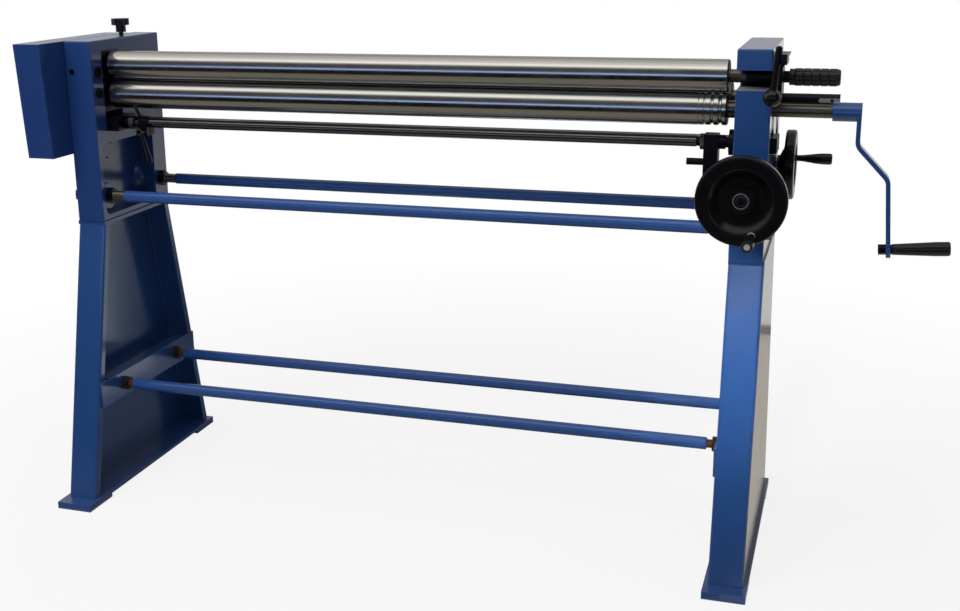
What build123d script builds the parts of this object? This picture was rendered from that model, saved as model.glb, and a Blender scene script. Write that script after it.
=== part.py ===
from build123d import *
from math import acos, cos, hypot, pi, radians, sin, sqrt, tan
import os

# Hand slip roll: three rolls between two cast housings on folded sheet stands. Sizes in millimetres.
# X runs along the rolls towards the crank, Y from the operator to the back, Z up from the floor.
# While modelling, X = 0 lies midway between the housings and Y = 0 at the middle of their depth.

# Fits
FIT = 0.05                # radial play of shafts, pins and screws in their holes
SLEEVE_FIT = 0.2          # radial play of the bearing sleeve in its open slot

# Side housings
INNER_GAP = 1310.0        # clear distance between the two housings
HOUSING_T = 62.0
HOUSING_DEPTH = 275.0
HOUSING_H = 381.0
STAND_H = 605.0           # floor to the underside of the housings
EDGE_R = 3.0              # rounding of the cast edges
RECESS_DEPTH = 44.0       # pocket in the inner side, leaves the outer web
RIM_FRONT = 14.5          # solid rims round the pocket
RIM_REAR = 54.5
RIM_LOW = 12.0
RIB_T = 14.0              # rib between the pocket and the gear cavity above it
RECESS_CORNER = 15.0
BOSS_R = 28.0             # bosses round the tie rods
WEB_HOLE_R = 3.0          # small blind hole in the left pocket's floor
WEB_HOLE_DEPTH = 8.0
WEB_HOLE_Y = -38.5
WEB_HOLE_RISE = 122.0     # above the underside of the housings

# Rolls
ROLL_D = 60.0
ROLL_Y = -60.0            # upper and lower roll stand over each other here
UPPER_DROP = 54.5         # upper roll axis below the top of the housings
NIP = 0.6                 # gap between the upper and lower roll
ROLL_END_LEFT = 6.0       # roll bodies stop this far from the housings
ROLL_END_RIGHT = 19.0
ROLL_CHAMFER = 2.0
LOWER_JOURNAL_R = 16.0
REAR_JOURNAL_R = 15.0
UPPER_JOURNAL_R = 15.0
JOURNAL_PAST = 1.0        # journals reach this far out of the housings
GROOVES = ((51.0, 1.2), (41.0, 1.8), (27.0, 3.0), (12.5, 3.5))  # from the roll's right end, radius

# Swivel bearing of the upper roll on the left, tongue and fork to its gear
PIVOT_IN = 27.0           # swivel centre behind the housing's inner face
SWIVEL_R = 28.0
SWIVEL_RING = 2.3         # flat ring left round the bush's bore
BLOCK_FLOOR = 1.1         # bearing block below, above, in front of and behind the ball
BLOCK_ROOF = 4.0
BLOCK_FRONT = 9.0
BLOCK_BACK = 2.0
BLOCK_GAP = 1.5           # between the upper and lower bearing blocks
MOUTH_R = 20.0            # opening of the bearing block round the journal
FORK_R = 11.0
FORK_WALL = 1.0           # tongue narrower than the fork on each side
FORK_PLAY = 1.6           # end play of tongue and fork
TONGUE_T = 8.0
TONGUE_PLAY = 0.9
TONGUE_HALF = 6.0
STUB_STEP = 2.0           # stub shaft thicker than the fork
STUB_SHOULDER = 9.0       # stub shaft reaches this far into the housing
UPPER_BOSS_WALL = 10.0

# Spur gears on the left roll ends
GEAR_TEETH = 15
GEAR_W = 18.0
GEAR_GAP = 25.0           # housing to gears
GEAR_PRESSURE = 20.0
GEAR_THIN = 0.42          # tooth thickness over circular pitch
GEAR_ROOT = 1.25          # tooth root below the pitch circle, in modules
FLANK_STEPS = 4
TOOTH_SINK = 1.0          # teeth reach this far into their gear's body
GEAR_SEAT_R = 14.0
BOSS_TO_GEAR = 1.0

# Lower roll slide
LOWER_BLOCK_DOWN = 35.0   # block below the roll axis
LOWER_STROKE = 6.0
LIFT_ROOM = 28.0          # free height under the lowered block
NUT_DEPTH = 15.0
SCREW_IN_NUT = 6.0
SLOT_ROOM = 3.0           # right slot above its block

# Rear roll and its slanted slide
REAR_CLEAR = 20.0         # free space between the rear roll and the front rolls
REAR_RISE = 11.1          # rear roll axis above the lower roll axis
REAR_TILT = 33.3          # slide leans forward from upright, degrees
REAR_STROKE = 30.0
REAR_STOP_GAP = 0.5       # left above the block at the end of its stroke
REAR_WALL = 9.0           # block beside the journal
REAR_BLOCK_DOWN = 60.0
REAR_NUT_ROOF = 5.0       # block between journal and nut bore
REAR_SHAFT_DROP = 106.9   # cross shaft below the roll axis, along the slide
REAR_WHEEL_DROP = 165.5   # side handwheel spindle below the roll axis
REAR_HUB = 5.0            # gear hub under the rear cross shaft
REAR_SCREW_FOOT = 17.0
POCKET_ROOM = 1.2         # round the bevel gears behind the side handwheel
REAR_STUB_R = 11.0
REAR_STUB_L = 113.0       # keyed end outside the right housing
KEYWAY_W = 8.0
KEYWAY_DEPTH = 3.5
KEYWAY_L = 24.0
KEEPER_T = 4.0
KEEPER_LAP = 2.0
KEEPER_TOP = 45.0         # upper edge below the roll axis

# Screws, bevel gears and cross shafts of the two adjustments
LIFT_IN = 25.0            # screw axes behind the housings' inner faces
SCREW_R = 8.0
SCREW_SHORT = 1.0         # screws stop short of their holes' ends
SHAFT_R = 10.0
CROSS_RISE = 8.0          # front cross shaft above the slot's floor
WHEEL_DROP = 78.2         # front handwheel below the cross shaft
BEVEL_TEETH = 14
BEVEL_R = 14.0            # pitch radius at the large end
BEVEL_ADD = 2.0
BEVEL_DED = 2.4
BEVEL_HUB = 12.0
BEVEL_ROOT_HALF = 0.26    # half a tooth's thickness over the pitch, at root and tip
BEVEL_TIP_HALF = 0.13
BEVEL_PASS = 0.4          # small end of a gear to the screw that crosses it
CAVITY_ROOM = 3.0
COLLAR_H = 6.0            # collar of the left lift screw under the rib

# Open bearing, latch and grip at the right end of the upper roll
SLEEVE_JOURNAL_R = 12.0
SLEEVE_WALL = 5.4
SLEEVE_SET = 12.0         # sleeve starts inside its slot
LATCH_GAP = 3.0           # latch plate to housing
SLEEVE_FLOOR = 18.0
NECK_R = 10.5
NECK_L = 22.0
GRIP_CORE_R = 8.0
GRIP_R = 15.7
GRIP_L = 88.0
GRIP_END_WALL = 4.0
PLATE_T = 12.0
PLATE_LEAN = 10.0         # slanted head of the latch plate
PLATE_FRONT = 50.0        # plate round the roll axis: front, rear, below, start of the slant, top
PLATE_REAR = 20.0
PLATE_DOWN = 29.5
PLATE_SLANT = 18.5
PLATE_TOP = 43.5
EAR_H = 18.0
EAR_PAST = 9.0
EAR_SET = 1.5             # ear starts outside the plate's lower part
EAR_LAP = 1.0
LATCH_DROP = 15.0         # lever pin below the top of the housings
LATCH_PIN_R = 4.0
LEVER_R = 6.0
LEVER_TIP_FLAT = 0.5      # flat radius left on the lever's rounded tip
LEVER_ABOVE = 23.0
LEVER_LEAN = 5.0          # lever leans outwards to its tip, degrees
LEVER_GAP = 1.8           # room for the lean beside the ear
BALL_R = 16.0
BALL_DROP = 67.0
BALL_GAP = 1.5            # ball to the housing's front
BALL_SEAT = 10.0
STEM_R = 4.0
STEM_DEPTH = 4.0

# Crank
DRIVE_R = 12.0
CRANK_OUT = 103.0         # right housing to the crank boss
CRANK_BOSS_L = 50.0
CRANK_BOSS_R = 17.0
CRANK_FLOOR = 4.0
CRANK_REACH = 128.0       # lower bend to the handle, along the bar
CRANK_LEAN = 4.0          # lower bar leans outwards, degrees
BAR_T = 8.0
BAR_W = 30.0
BAR_END_R = 12.0
BEND_HIGH = 59.0          # bends of the bar below the roll axis
BEND_LOW = 119.0
BEND_R = 22.0
CRANK_OFFSET = 56.0       # lower bend outside the upper one
BAR_PAST = 15.0
CRANK_BOLT_R = 6.0
BOLT_HEAD = 17.0
BOLT_HEAD_T = 13.5
BOLT_COLLAR_R = 9.0
BOLT_COLLAR_L = 3.0
CRANK_GRIP_L = 98.7
CRANK_GRIP_WAIST = 9.9
CRANK_GRIP_R = 12.9
GRIP_FLOOR = 6.0          # blind end of every hand grip
GRIP_CROWN = 4.0
GRIP_SWELL = 0.75         # share of a hand grip's length over which it grows

# Handwheels
SPINDLE_R = 9.0
SPINDLE_SHOULDER = 4.0    # shoulder wider than the spindle
SPINDLE_BOSS_R = 16.0
SPINDLE_BOSS_L = 23.0
WHEEL_HUB_R = 18.0
WHEEL_HUB_BACK = 0.3      # straight part of the hub's back, share of the dish
WHEEL_RIM = 20.0          # rim along the axis
WHEEL_WALL = 16.0         # depth and slope of the wall inside the rim
WHEEL_BOSS_TAPER = 2.0
WHEEL_SINK = 4.0          # hub's face behind the rim's
WHEEL_EDGE_R = 5.0
WHEEL_STUD_R = 4.0
FRONT_WHEEL_R = 80.0
FRONT_WHEEL_OUT = 34.5
FRONT_DISH = 32.0
FRONT_RIM_W = 23.0        # flat face of the rim
FRONT_BOSS_R = 27.0
FRONT_BACK_R = 46.0       # sloping back reaches the rim here
FRONT_STUD_X = 21.0       # handle stud from the wheel's centre
FRONT_STUD_Z = -60.0
FRONT_NECK = 10.0         # bare stud between wheel and handle
FRONT_GRIP_L = 76.0
FRONT_GRIP_WAIST = 7.0
FRONT_GRIP_R = 10.2
SIDE_WHEEL_R = 68.0
SIDE_WHEEL_OUT = 1.5
SIDE_DISH = 14.5
SIDE_RIM_W = 25.0
SIDE_BOSS_R = 20.0
SIDE_BACK_R = 39.5
SIDE_STUD_Y = 50.0
SIDE_STUD_Z = 5.0
SIDE_GRIP_L = 67.0
SIDE_GRIP_WAIST = 6.0
SIDE_GRIP_R = 11.0

# Tie rods
TIE_R = 12.0
TIE_CHAMFER = 1.8
TIE_STUD_PAST = 4.0
TIE_NUT_T = 12.0
UPPER_TIE_SHORT = 40.0    # full thickness stops this far from the housings
UPPER_STUD_R = 10.0
UPPER_TIE_NUT = 30.0      # across flats
UPPER_TIE_SET = 29.5      # rod axes in from the housings' front and rear faces
UPPER_TIE_RISE = 53.0     # above the underside of the housings
LOWER_TIE_SHORT = 27.0
LOWER_STUD_R = 8.0
LOWER_TIE_NUT = 27.0
LOWER_TIE_Y = 112.0
LOWER_TIE_Z = 234.0

# Folded stands
STAND_W = 65.0
SHEET = 4.0
STAND_BEND_R = 6.0
STAND_TOP_T = 8.0
STAND_SETBACK = 3.0       # stand behind the housing's front and rear faces
FOOT_SPREAD_FRONT = 122.5
FOOT_SPREAD_REAR = 114.5
LIP = 20.0
BASE_T = 7.0
PAD_T = 8.0
BASE_W = 80.0
BASE_PAST_FRONT = 32.0
BASE_PAST_REAR = 12.0
PAD_FRONT_L = 87.0
PAD_REAR_L = 82.0
BRACE_H = 56.0
BRACE_LEG = 26.0
BRACE_LAP = 6.0           # brace over the stand's lips
BRACE_LEG_IN = 36.0

# Gear cover
COVER_W = 60.0
COVER_FRONT = 87.5        # cover in front of the housing at the top
COVER_SLOPE = 18.0
COVER_REAR_IN = 22.5      # cover stops before the housing's rear face
COVER_H = 236.0
COVER_WALL = 3.0

# Cross shaft support and clamp
FLANGE_R = 24.0
FLANGE_T = 14.0
THREAD_R = 8.5
THREAD_L = 15.0
SHAFT_NUT = 26.0
SHAFT_NUT_T = 8.0
SHAFT_COLLAR_R = 13.0
SHAFT_COLLAR_L = 12.0
BRACKET_OUT = 33.0        # bracket to the right housing
BRACKET_T = 26.0
BRACKET_FRONT = 18.0
BRACKET_REAR = 17.0
BRACKET_ABOVE = 15.0
BRACKET_FOOT = 22.0
FOOT_CLEAR = 3.7
BAR_R = 6.5
BAR_DROP = 38.0           # short bar below the shaft
BAR_OUT = 32.0
BAR_SEAT = 12.0
CLAMP_OUT = 73.0          # clamp screw to the left housing
CLAMP_DROP = 16.5
CLAMP_SEAT_T = 27.0       # left bearing block of the cross shaft
CLAMP_SEAT_W = 72.0
CLAMP_SEAT_H = 30.0
CLAMP_RING_R = 14.0
CLAMP_RING_W = 20.0
CLAMP_HUB_L = 50.0
CLAMP_SLIT = 2.0
CLAMP_LUG = 16.0
CLAMP_LUG_BELOW = 9.0
BRIDGE_HALF = 9.0
BRIDGE_T = 5.0
BRIDGE_LAP = 1.0          # bridge into the rings and below their tops
CLAMP_SCREW_R = 4.0
CLAMP_LEVER_HUB_R = 8.0
CLAMP_LEVER_HUB_L = 14.0
CLAMP_ARM_L = 68.0
CLAMP_ARM_TIP_R = 9.0
CLAMP_ARM_ROOT_R = 4.5
CLAMP_ARM_LEAN = 12.9
CAP_T = 11.0
CAP_W = 64.0
CAP_H = 28.0
CAP_HOLE_R = 14.0

# Star knob and bearing screws on the left housing
KNOB_IN = 33.0
KNOB_BACK = 20.0          # behind the rear roll's axis
KNOB_R = 19.5
KNOB_LOBES = 7
KNOB_LOBE_R = 5.5
KNOB_HUB_R = 11.0
KNOB_WEB = 2.0            # disc past the lobes' centres
KNOB_RISE = 7.0
KNOB_HUB_H = 15.0
KNOB_H = 14.0
KNOB_SCREW_R = 5.0
KNOB_TIP_GAP = 3.0
BEARING_SCREW_GAP = 18.0  # screw axes in front of the bearing slot
BEARING_SCREW_R = 11.0
BEARING_SCREW_H = 3.0
BEARING_SOCKET_R = 5.0
BEARING_SOCKET_DEPTH = 2.0
BEARING_SCREW_UP = 7.0    # screws above the lower roll's axis and below the upper roll's axis
BEARING_SCREW_DOWN = 10.5

# Positions that follow from the sizes above
XI = INNER_GAP / 2
XO = XI + HOUSING_T
WEB_X = XI + RECESS_DEPTH
HALF_DEPTH = HOUSING_DEPTH / 2
HOUSING_TOP = STAND_H + HOUSING_H
ROLL_R = ROLL_D / 2
ROLL_LEFT = ROLL_END_LEFT - XI
ROLL_RIGHT = XI - ROLL_END_RIGHT
UPPER_Z = HOUSING_TOP - UPPER_DROP
LOWER_Z = UPPER_Z - ROLL_D - NIP
PIVOT_X = -XI - PIVOT_IN
SWIVEL_HALF = sqrt(SWIVEL_R**2 - (UPPER_JOURNAL_R + SWIVEL_RING) ** 2)
STUB_R = FORK_R + STUB_STEP
SLOT_FRONT = ROLL_Y - SWIVEL_R - BLOCK_FRONT
SLOT_REAR = ROLL_Y + SWIVEL_R + BLOCK_BACK
SLOT_HIGH = UPPER_Z + SWIVEL_R + BLOCK_ROOF
UPPER_BLOCK_LOW = UPPER_Z - SWIVEL_R - BLOCK_FLOOR
LOWER_BLOCK_HIGH = UPPER_BLOCK_LOW - BLOCK_GAP
LOWER_BLOCK_LOW = LOWER_Z - LOWER_BLOCK_DOWN
SLOT_LOW = LOWER_BLOCK_LOW - LOWER_STROKE - LIFT_ROOM
GEAR_IN = -XO - GEAR_GAP
GEAR_OUT = GEAR_IN - GEAR_W
CROSS_Z = SLOT_LOW + CROSS_RISE
WHEEL_Z = CROSS_Z - WHEEL_DROP
LIFT_X = XI + LIFT_IN
BEVEL_TIP_R = BEVEL_R + BEVEL_ADD
BEVEL_SHRINK = (SCREW_R + BEVEL_PASS) / BEVEL_R
CAVITY_R = BEVEL_TIP_R + CAVITY_ROOM
BEVEL_FLOOR = CROSS_Z - BEVEL_R - BEVEL_HUB
SHAFT_BACK = LIFT_X - BEVEL_R - BEVEL_HUB
RECESS_HIGH = BEVEL_FLOOR - RIB_T
RECESS_LOW = STAND_H + RIM_LOW
RECESS_FRONT = RIM_FRONT - HALF_DEPTH
RECESS_REAR = HALF_DEPTH - RIM_REAR
REAR_Y = ROLL_Y + ROLL_D + REAR_CLEAR
REAR_Z = LOWER_Z + REAR_RISE
REAR = Pos(0, REAR_Y, REAR_Z) * Rot(REAR_TILT, 0, 0)
REAR_HALF = REAR_JOURNAL_R + REAR_WALL
REAR_SLOT_LOW = -REAR_SHAFT_DROP - BEVEL_R - REAR_HUB
REAR_NUT_TOP = -REAR_JOURNAL_R - REAR_NUT_ROOF
WHEEL_POCKET_R = hypot(BEVEL_R, BEVEL_TIP_R) + POCKET_ROOM
REAR_RIB_LOW = -REAR_WHEEL_DROP + WHEEL_POCKET_R
SLEEVE_R = SLEEVE_JOURNAL_R + SLEEVE_WALL
SLEEVE_START = XI + SLEEVE_SET
SLEEVE_END = XO + LATCH_GAP
GRIP_START = SLEEVE_END + NECK_L
GRIP_END = GRIP_START + GRIP_L
EAR_X = SLEEVE_END + PLATE_T + EAR_SET
LATCH_X = EAR_X - LEVER_GAP - LEVER_R
LATCH_Y = -HALF_DEPTH - BALL_R - BALL_GAP
LATCH_Z = HOUSING_TOP - LATCH_DROP
BOSS_START = XO + CRANK_OUT
BOSS_END = BOSS_START + CRANK_BOSS_L
BAR_HALF = BAR_T / 2
BAR_X = BOSS_END - BAR_HALF
CRANK_FOOT = Pos(BAR_X + CRANK_OFFSET, ROLL_Y, LOWER_Z - BEND_LOW) * Rot(0, -CRANK_LEAN, 0)
CRANK_PIN = CRANK_FOOT * Pos(0, 0, -CRANK_REACH)
CRANK_GRIP_START = BAR_HALF + BOLT_COLLAR_L
CRANK_GRIP_END = CRANK_GRIP_START + CRANK_GRIP_L
CRANK_CROWN = CRANK_PIN * Pos(CRANK_GRIP_END - GRIP_CROWN, 0, GRIP_CROWN - CRANK_GRIP_R)
RIGHT_END = CRANK_CROWN.position.X + GRIP_CROWN
FRONT_HUB_BACK = -HALF_DEPTH - FRONT_WHEEL_OUT
FRONT_FACE = FRONT_HUB_BACK - FRONT_DISH - WHEEL_RIM
FRONT_HUB_FACE = FRONT_FACE + WHEEL_SINK
FRONT_PIN_X = LIFT_X + FRONT_STUD_X
FRONT_PIN_Z = WHEEL_Z + FRONT_STUD_Z
FRONT_GRIP_START = FRONT_FACE - FRONT_NECK
SIDE_HUB_BACK = XO + SIDE_WHEEL_OUT
SIDE_FACE = SIDE_HUB_BACK + SIDE_DISH + WHEEL_RIM
SIDE_HUB_FACE = SIDE_FACE - WHEEL_SINK
SIDE_Y = REAR_Y + REAR_WHEEL_DROP * sin(radians(REAR_TILT))
SIDE_Z = REAR_Z - REAR_WHEEL_DROP * cos(radians(REAR_TILT))
SIDE_PIN_Y = SIDE_Y + SIDE_STUD_Y
SIDE_PIN_Z = SIDE_Z + SIDE_STUD_Z
UPPER_TIE_Y = HALF_DEPTH - UPPER_TIE_SET
UPPER_TIE_Z = STAND_H + UPPER_TIE_RISE
STAND_BASE = PAD_T + BASE_T
STAND_HIGH = STAND_H - STAND_TOP_T
STAND_MID = XI + STAND_W / 2
STAND_TOP_Y = HALF_DEPTH - STAND_SETBACK
STAND_FRONT = -HALF_DEPTH - FOOT_SPREAD_FRONT
STAND_REAR = HALF_DEPTH + FOOT_SPREAD_REAR
BASE_FRONT = STAND_FRONT - BASE_PAST_FRONT
BASE_REAR = STAND_REAR + BASE_PAST_REAR
BRACE_X = XI - SHEET
COVER_OUT = -XO - COVER_W
COVER_LOW = HOUSING_TOP - COVER_H
COVER_FRONT_TOP = -HALF_DEPTH - COVER_FRONT
COVER_FRONT_LOW = COVER_FRONT_TOP + COVER_SLOPE
COVER_REAR = HALF_DEPTH - COVER_REAR_IN
BRACKET_X1 = XI - BRACKET_OUT
BRACKET_X0 = BRACKET_X1 - BRACKET_T
FOOT_HIGH = WHEEL_Z - BEVEL_TIP_R - FOOT_CLEAR
CLAMP_X = -XI + CLAMP_OUT
CLAMP_Z = CROSS_Z - CLAMP_DROP
BEARING_SCREW_Y = SLOT_FRONT - BEARING_SCREW_GAP
KNOB_X = -XI - KNOB_IN
KNOB_Y = REAR_Y + KNOB_BACK
KNOB_EDGE = (KNOB_BACK - KNOB_SCREW_R) * cos(radians(REAR_TILT))
KNOB_TIP = REAR_Z + (REAR_HALF - KNOB_EDGE) / sin(radians(REAR_TILT)) + KNOB_TIP_GAP
FRONT_END = min(BASE_FRONT, FRONT_GRIP_START - FRONT_GRIP_L)
ORIGIN = Pos(-(COVER_OUT + RIGHT_END) / 2, -(FRONT_END + BASE_REAR) / 2, 0)


def rod_x(radius, x0, x1, y=0.0, z=0.0):
    """Round bar along X."""
    return Pos((x0 + x1) / 2, y, z) * Rot(0, 90, 0) * Cylinder(radius, abs(x1 - x0))


def rod_y(radius, y0, y1, x=0.0, z=0.0):
    """Round bar along Y."""
    return Pos(x, (y0 + y1) / 2, z) * Rot(90, 0, 0) * Cylinder(radius, abs(y1 - y0))


def rod_z(radius, z0, z1, x=0.0, y=0.0):
    """Round bar along Z."""
    return Pos(x, y, (z0 + z1) / 2) * Cylinder(radius, abs(z1 - z0))


def slab(x0, x1, y0, y1, z0, z1):
    """Box between two corners."""
    middle = Pos((x0 + x1) / 2, (y0 + y1) / 2, (z0 + z1) / 2)
    return middle * Box(abs(x1 - x0), abs(y1 - y0), abs(z1 - z0))


def plate_yz(points, x0, x1):
    """Flat plate: an outline of (y, z) points given thickness from x0 to x1."""
    outline = Polyline(*[(x0, y, z) for y, z in points], close=True)
    return extrude(make_face(outline), amount=x1 - x0, dir=(1, 0, 0))


def plate_xz(points, y0, y1):
    """Flat plate: an outline of (x, z) points given thickness from y0 to y1."""
    outline = Polyline(*[(x, y0, z) for x, z in points], close=True)
    return extrude(make_face(outline), amount=y1 - y0, dir=(0, 1, 0))


def turned_face(points):
    """Half section in the XZ plane from (radius, height) points."""
    return make_face(Polyline(*[(r, 0, h) for r, h in points], close=True))


def mirrored(shape):
    """Left-hand twin of a right-hand piece."""
    return mirror(shape, about=Plane.YZ)


def group(pieces):
    """Several separate solids as one flat group."""
    return Compound([solid for piece in pieces for solid in piece.solids()])


def pair(shape):
    """A right-hand piece together with its left-hand twin."""
    return group([shape, mirrored(shape)])


def hexagon_x(flats, x0, x1, y, z):
    """Hexagon bar along X."""
    prism = extrude(RegularPolygon(flats / 2, 6, major_radius=False), amount=x1 - x0)
    return Pos(x0, y, z) * Rot(0, 90, 0) * prism


def nut_x(flats, bore_r, x0, x1, y, z):
    """Plain hexagon nut with its axis along X."""
    return hexagon_x(flats, x0, x1, y, z) - rod_x(bore_r, x0, x1, y, z)


def bevel_gear():
    """Straight bevel gear for 45 degree cones: apex at the origin, body below it, one tooth towards +X."""
    root = BEVEL_R - BEVEL_DED
    pitch = 2 * pi * BEVEL_R / BEVEL_TEETH
    half_root = BEVEL_ROOT_HALF * pitch
    half_tip = BEVEL_TIP_HALF * pitch
    small = BEVEL_SHRINK
    cone = [(0, -BEVEL_R), (root, -BEVEL_R), (root * small, -BEVEL_R * small), (0, -BEVEL_R * small)]
    gear = revolve(turned_face(cone), axis=Axis.Z)
    sunk = root - TOOTH_SINK
    section = [(sunk, -half_root), (BEVEL_TIP_R, -half_tip), (BEVEL_TIP_R, half_tip), (sunk, half_root)]
    ends = []
    for k in (1.0, small):
        ends.append(make_face(Polyline(*[(x * k, y * k, -BEVEL_R * k) for x, y in section], close=True)))
    tooth = loft(ends, ruled=True)
    return gear + [Rot(0, 0, 360.0 * i / BEVEL_TEETH) * tooth for i in range(BEVEL_TEETH)]


BEVEL = bevel_gear()


def set_bevel(apex, body, toward, on_tooth, hub=BEVEL_HUB):
    """Bevel gear at a shaft crossing: body and hub away from the apex, a tooth or a gap towards the mate."""
    frame = Plane(origin=apex, x_dir=toward, z_dir=tuple(-c for c in body))
    turn = 0.0 if on_tooth else 180.0 / BEVEL_TEETH
    gear = Rot(0, 0, turn) * BEVEL + rod_z(SHAFT_R, -BEVEL_R - hub, -BEVEL_R)
    return frame.location * gear


def spur_gear():
    """Involute spur gear along X between the gear planes, with a tooth on top."""
    pitch_r = ROLL_R
    module = 2 * pitch_r / GEAR_TEETH
    base_r = pitch_r * cos(radians(GEAR_PRESSURE))
    tip_r = pitch_r + module
    root_r = pitch_r - GEAR_ROOT * module

    def half_angle(r):
        """Half the tooth's angle at a radius on the involute."""
        lean = acos(base_r / r)
        start = radians(GEAR_PRESSURE)
        return GEAR_THIN * pi / GEAR_TEETH + (tan(start) - start) - (tan(lean) - lean)

    steps = [base_r + (tip_r - base_r) * i / FLANK_STEPS for i in range(FLANK_STEPS + 1)]
    flank = [(root_r - TOOTH_SINK, half_angle(base_r))] + [(r, half_angle(r)) for r in steps]
    points = [(r * cos(a), r * sin(a)) for r, a in flank]
    outline = points + [(x, -y) for x, y in reversed(points)]
    tooth = extrude(make_face(Polyline(*outline, close=True)), amount=GEAR_W)
    teeth = [Rot(0, 0, 360.0 * i / GEAR_TEETH) * tooth for i in range(GEAR_TEETH)]
    gear = rod_z(root_r, 0, GEAR_W) + teeth
    # Laid along X the first tooth points down, so half a turn brings it up.
    return Pos(GEAR_OUT, 0, 0) * Rot(0, 90, 0) * Rot(0, 0, 180) * gear


def rear_slot():
    """Slanted slot of the rear slide block with a round upper end."""
    top = REAR_STROKE + REAR_STOP_GAP
    straight = slab(XI, XO, -REAR_HALF, REAR_HALF, REAR_SLOT_LOW, top)
    return REAR * (straight + rod_x(REAR_HALF, XI, XO, 0, top))


def housing_pocket():
    """Rounded pocket in the inner side that leaves the tie-rod bosses standing."""
    y = (RECESS_FRONT + RECESS_REAR) / 2
    z = (RECESS_LOW + RECESS_HIGH) / 2
    window = RectangleRounded(RECESS_REAR - RECESS_FRONT, RECESS_HIGH - RECESS_LOW, RECESS_CORNER)
    pocket = extrude(Plane.YZ.offset(XI) * Pos(y, z) * window, amount=RECESS_DEPTH)
    for tie_y in (-UPPER_TIE_Y, UPPER_TIE_Y):
        pocket = pocket - rod_x(BOSS_R, XI, WEB_X, tie_y, UPPER_TIE_Z)
    return pocket


def housing_core():
    """Right-hand cast housing with what both sides share: pocket, tie-rod holes, rear slot, gear cavity."""
    body = slab(XI, XO, -HALF_DEPTH, HALF_DEPTH, STAND_H, HOUSING_TOP)
    body = fillet(body.edges(), EDGE_R) - housing_pocket() - rear_slot()
    for y in (-UPPER_TIE_Y, UPPER_TIE_Y):
        body = body - rod_x(UPPER_STUD_R + FIT, XI, XO, y, UPPER_TIE_Z)
    foot = REAR_SLOT_LOW - REAR_SCREW_FOOT
    body = body - REAR * rod_z(SCREW_R + FIT, foot, REAR_SLOT_LOW, LIFT_X, 0)
    body = body - rod_z(CAVITY_R, BEVEL_FLOOR, SLOT_LOW, LIFT_X, ROLL_Y)
    body = body - rod_z(SCREW_R + FIT, RECESS_HIGH, BEVEL_FLOOR, LIFT_X, ROLL_Y)
    return body - rod_x(CAVITY_R, XI, LIFT_X, ROLL_Y, CROSS_Z)


def housing_left():
    """Left housing: one slot for both roll bearings, threaded hole for the locking knob."""
    body = housing_core() - slab(XI, XO, SLOT_FRONT, SLOT_REAR, SLOT_LOW, SLOT_HIGH)
    body = mirrored(body) - rod_z(KNOB_SCREW_R + FIT, REAR_Z, HOUSING_TOP, KNOB_X, KNOB_Y)
    return body - rod_x(WEB_HOLE_R, -WEB_X - WEB_HOLE_DEPTH, -WEB_X, WEB_HOLE_Y, STAND_H + WEB_HOLE_RISE)


def housing_right():
    """Right housing: lower slot, upper slot open to the front, seats of both handwheel spindles."""
    body = housing_core()
    body = body - slab(XI, XO, SLOT_FRONT, SLOT_REAR, SLOT_LOW, LOWER_BLOCK_HIGH + SLOT_ROOM)
    half = SLEEVE_R + SLEEVE_FIT
    body = body - slab(XI, XO, -HALF_DEPTH, ROLL_Y, UPPER_Z - half, UPPER_Z + half)
    body = body - rod_x(half, XI, XO, ROLL_Y, UPPER_Z)
    boss_end = RECESS_FRONT + SPINDLE_BOSS_L
    body = body + rod_y(SPINDLE_BOSS_R, RECESS_FRONT - RIM_FRONT / 2, boss_end, LIFT_X, WHEEL_Z)
    body = body - rod_y(SPINDLE_R + FIT, -HALF_DEPTH, boss_end, LIFT_X, WHEEL_Z)
    pocket_end = LIFT_X + BEVEL_R + BEVEL_HUB
    body = body - REAR * rod_x(WHEEL_POCKET_R, XI, pocket_end, 0, -REAR_WHEEL_DROP)
    body = body - REAR * rod_z(SHAFT_R + FIT, -REAR_WHEEL_DROP, REAR_RIB_LOW, LIFT_X, 0)
    body = body - REAR * rod_z(SCREW_R + FIT, REAR_RIB_LOW, REAR_SLOT_LOW, LIFT_X, 0)
    body = body - REAR * rod_x(SPINDLE_R + FIT, pocket_end, XO, 0, -REAR_WHEEL_DROP)
    return body - rod_x(CAP_HOLE_R, LIFT_X, XO, ROLL_Y, CROSS_Z)


def lower_block():
    """Right-hand bearing block of the lower roll with the blind nut bore below."""
    block = slab(XI, XO, SLOT_FRONT, SLOT_REAR, LOWER_BLOCK_LOW, LOWER_BLOCK_HIGH)
    block = block - rod_x(LOWER_JOURNAL_R + FIT, XI, XO, ROLL_Y, LOWER_Z)
    return block - rod_z(SCREW_R + FIT, LOWER_BLOCK_LOW, LOWER_BLOCK_LOW + NUT_DEPTH, LIFT_X, ROLL_Y)


def rear_block():
    """Right-hand slide block of the rear roll: round head, long foot with the nut bore."""
    block = slab(XI, XO, -REAR_HALF, REAR_HALF, -REAR_BLOCK_DOWN, 0) + rod_x(REAR_HALF, XI, XO)
    block = block - rod_x(REAR_JOURNAL_R + FIT, XI, XO)
    return REAR * (block - rod_z(SCREW_R + FIT, -REAR_BLOCK_DOWN, REAR_NUT_TOP, LIFT_X, 0))


def roll_body(y, z, grooves):
    """Ground roll body with chamfered ends and wire grooves near its right end."""
    roll = rod_x(ROLL_R, ROLL_LEFT, ROLL_RIGHT)
    roll = chamfer(roll.edges().filter_by(GeomType.CIRCLE), ROLL_CHAMFER)
    for from_end, r in grooves:
        roll = roll - Pos(ROLL_RIGHT - from_end, 0, 0) * Rot(0, 90, 0) * Torus(ROLL_R, r)
    return Pos(0, y, z) * roll


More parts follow.
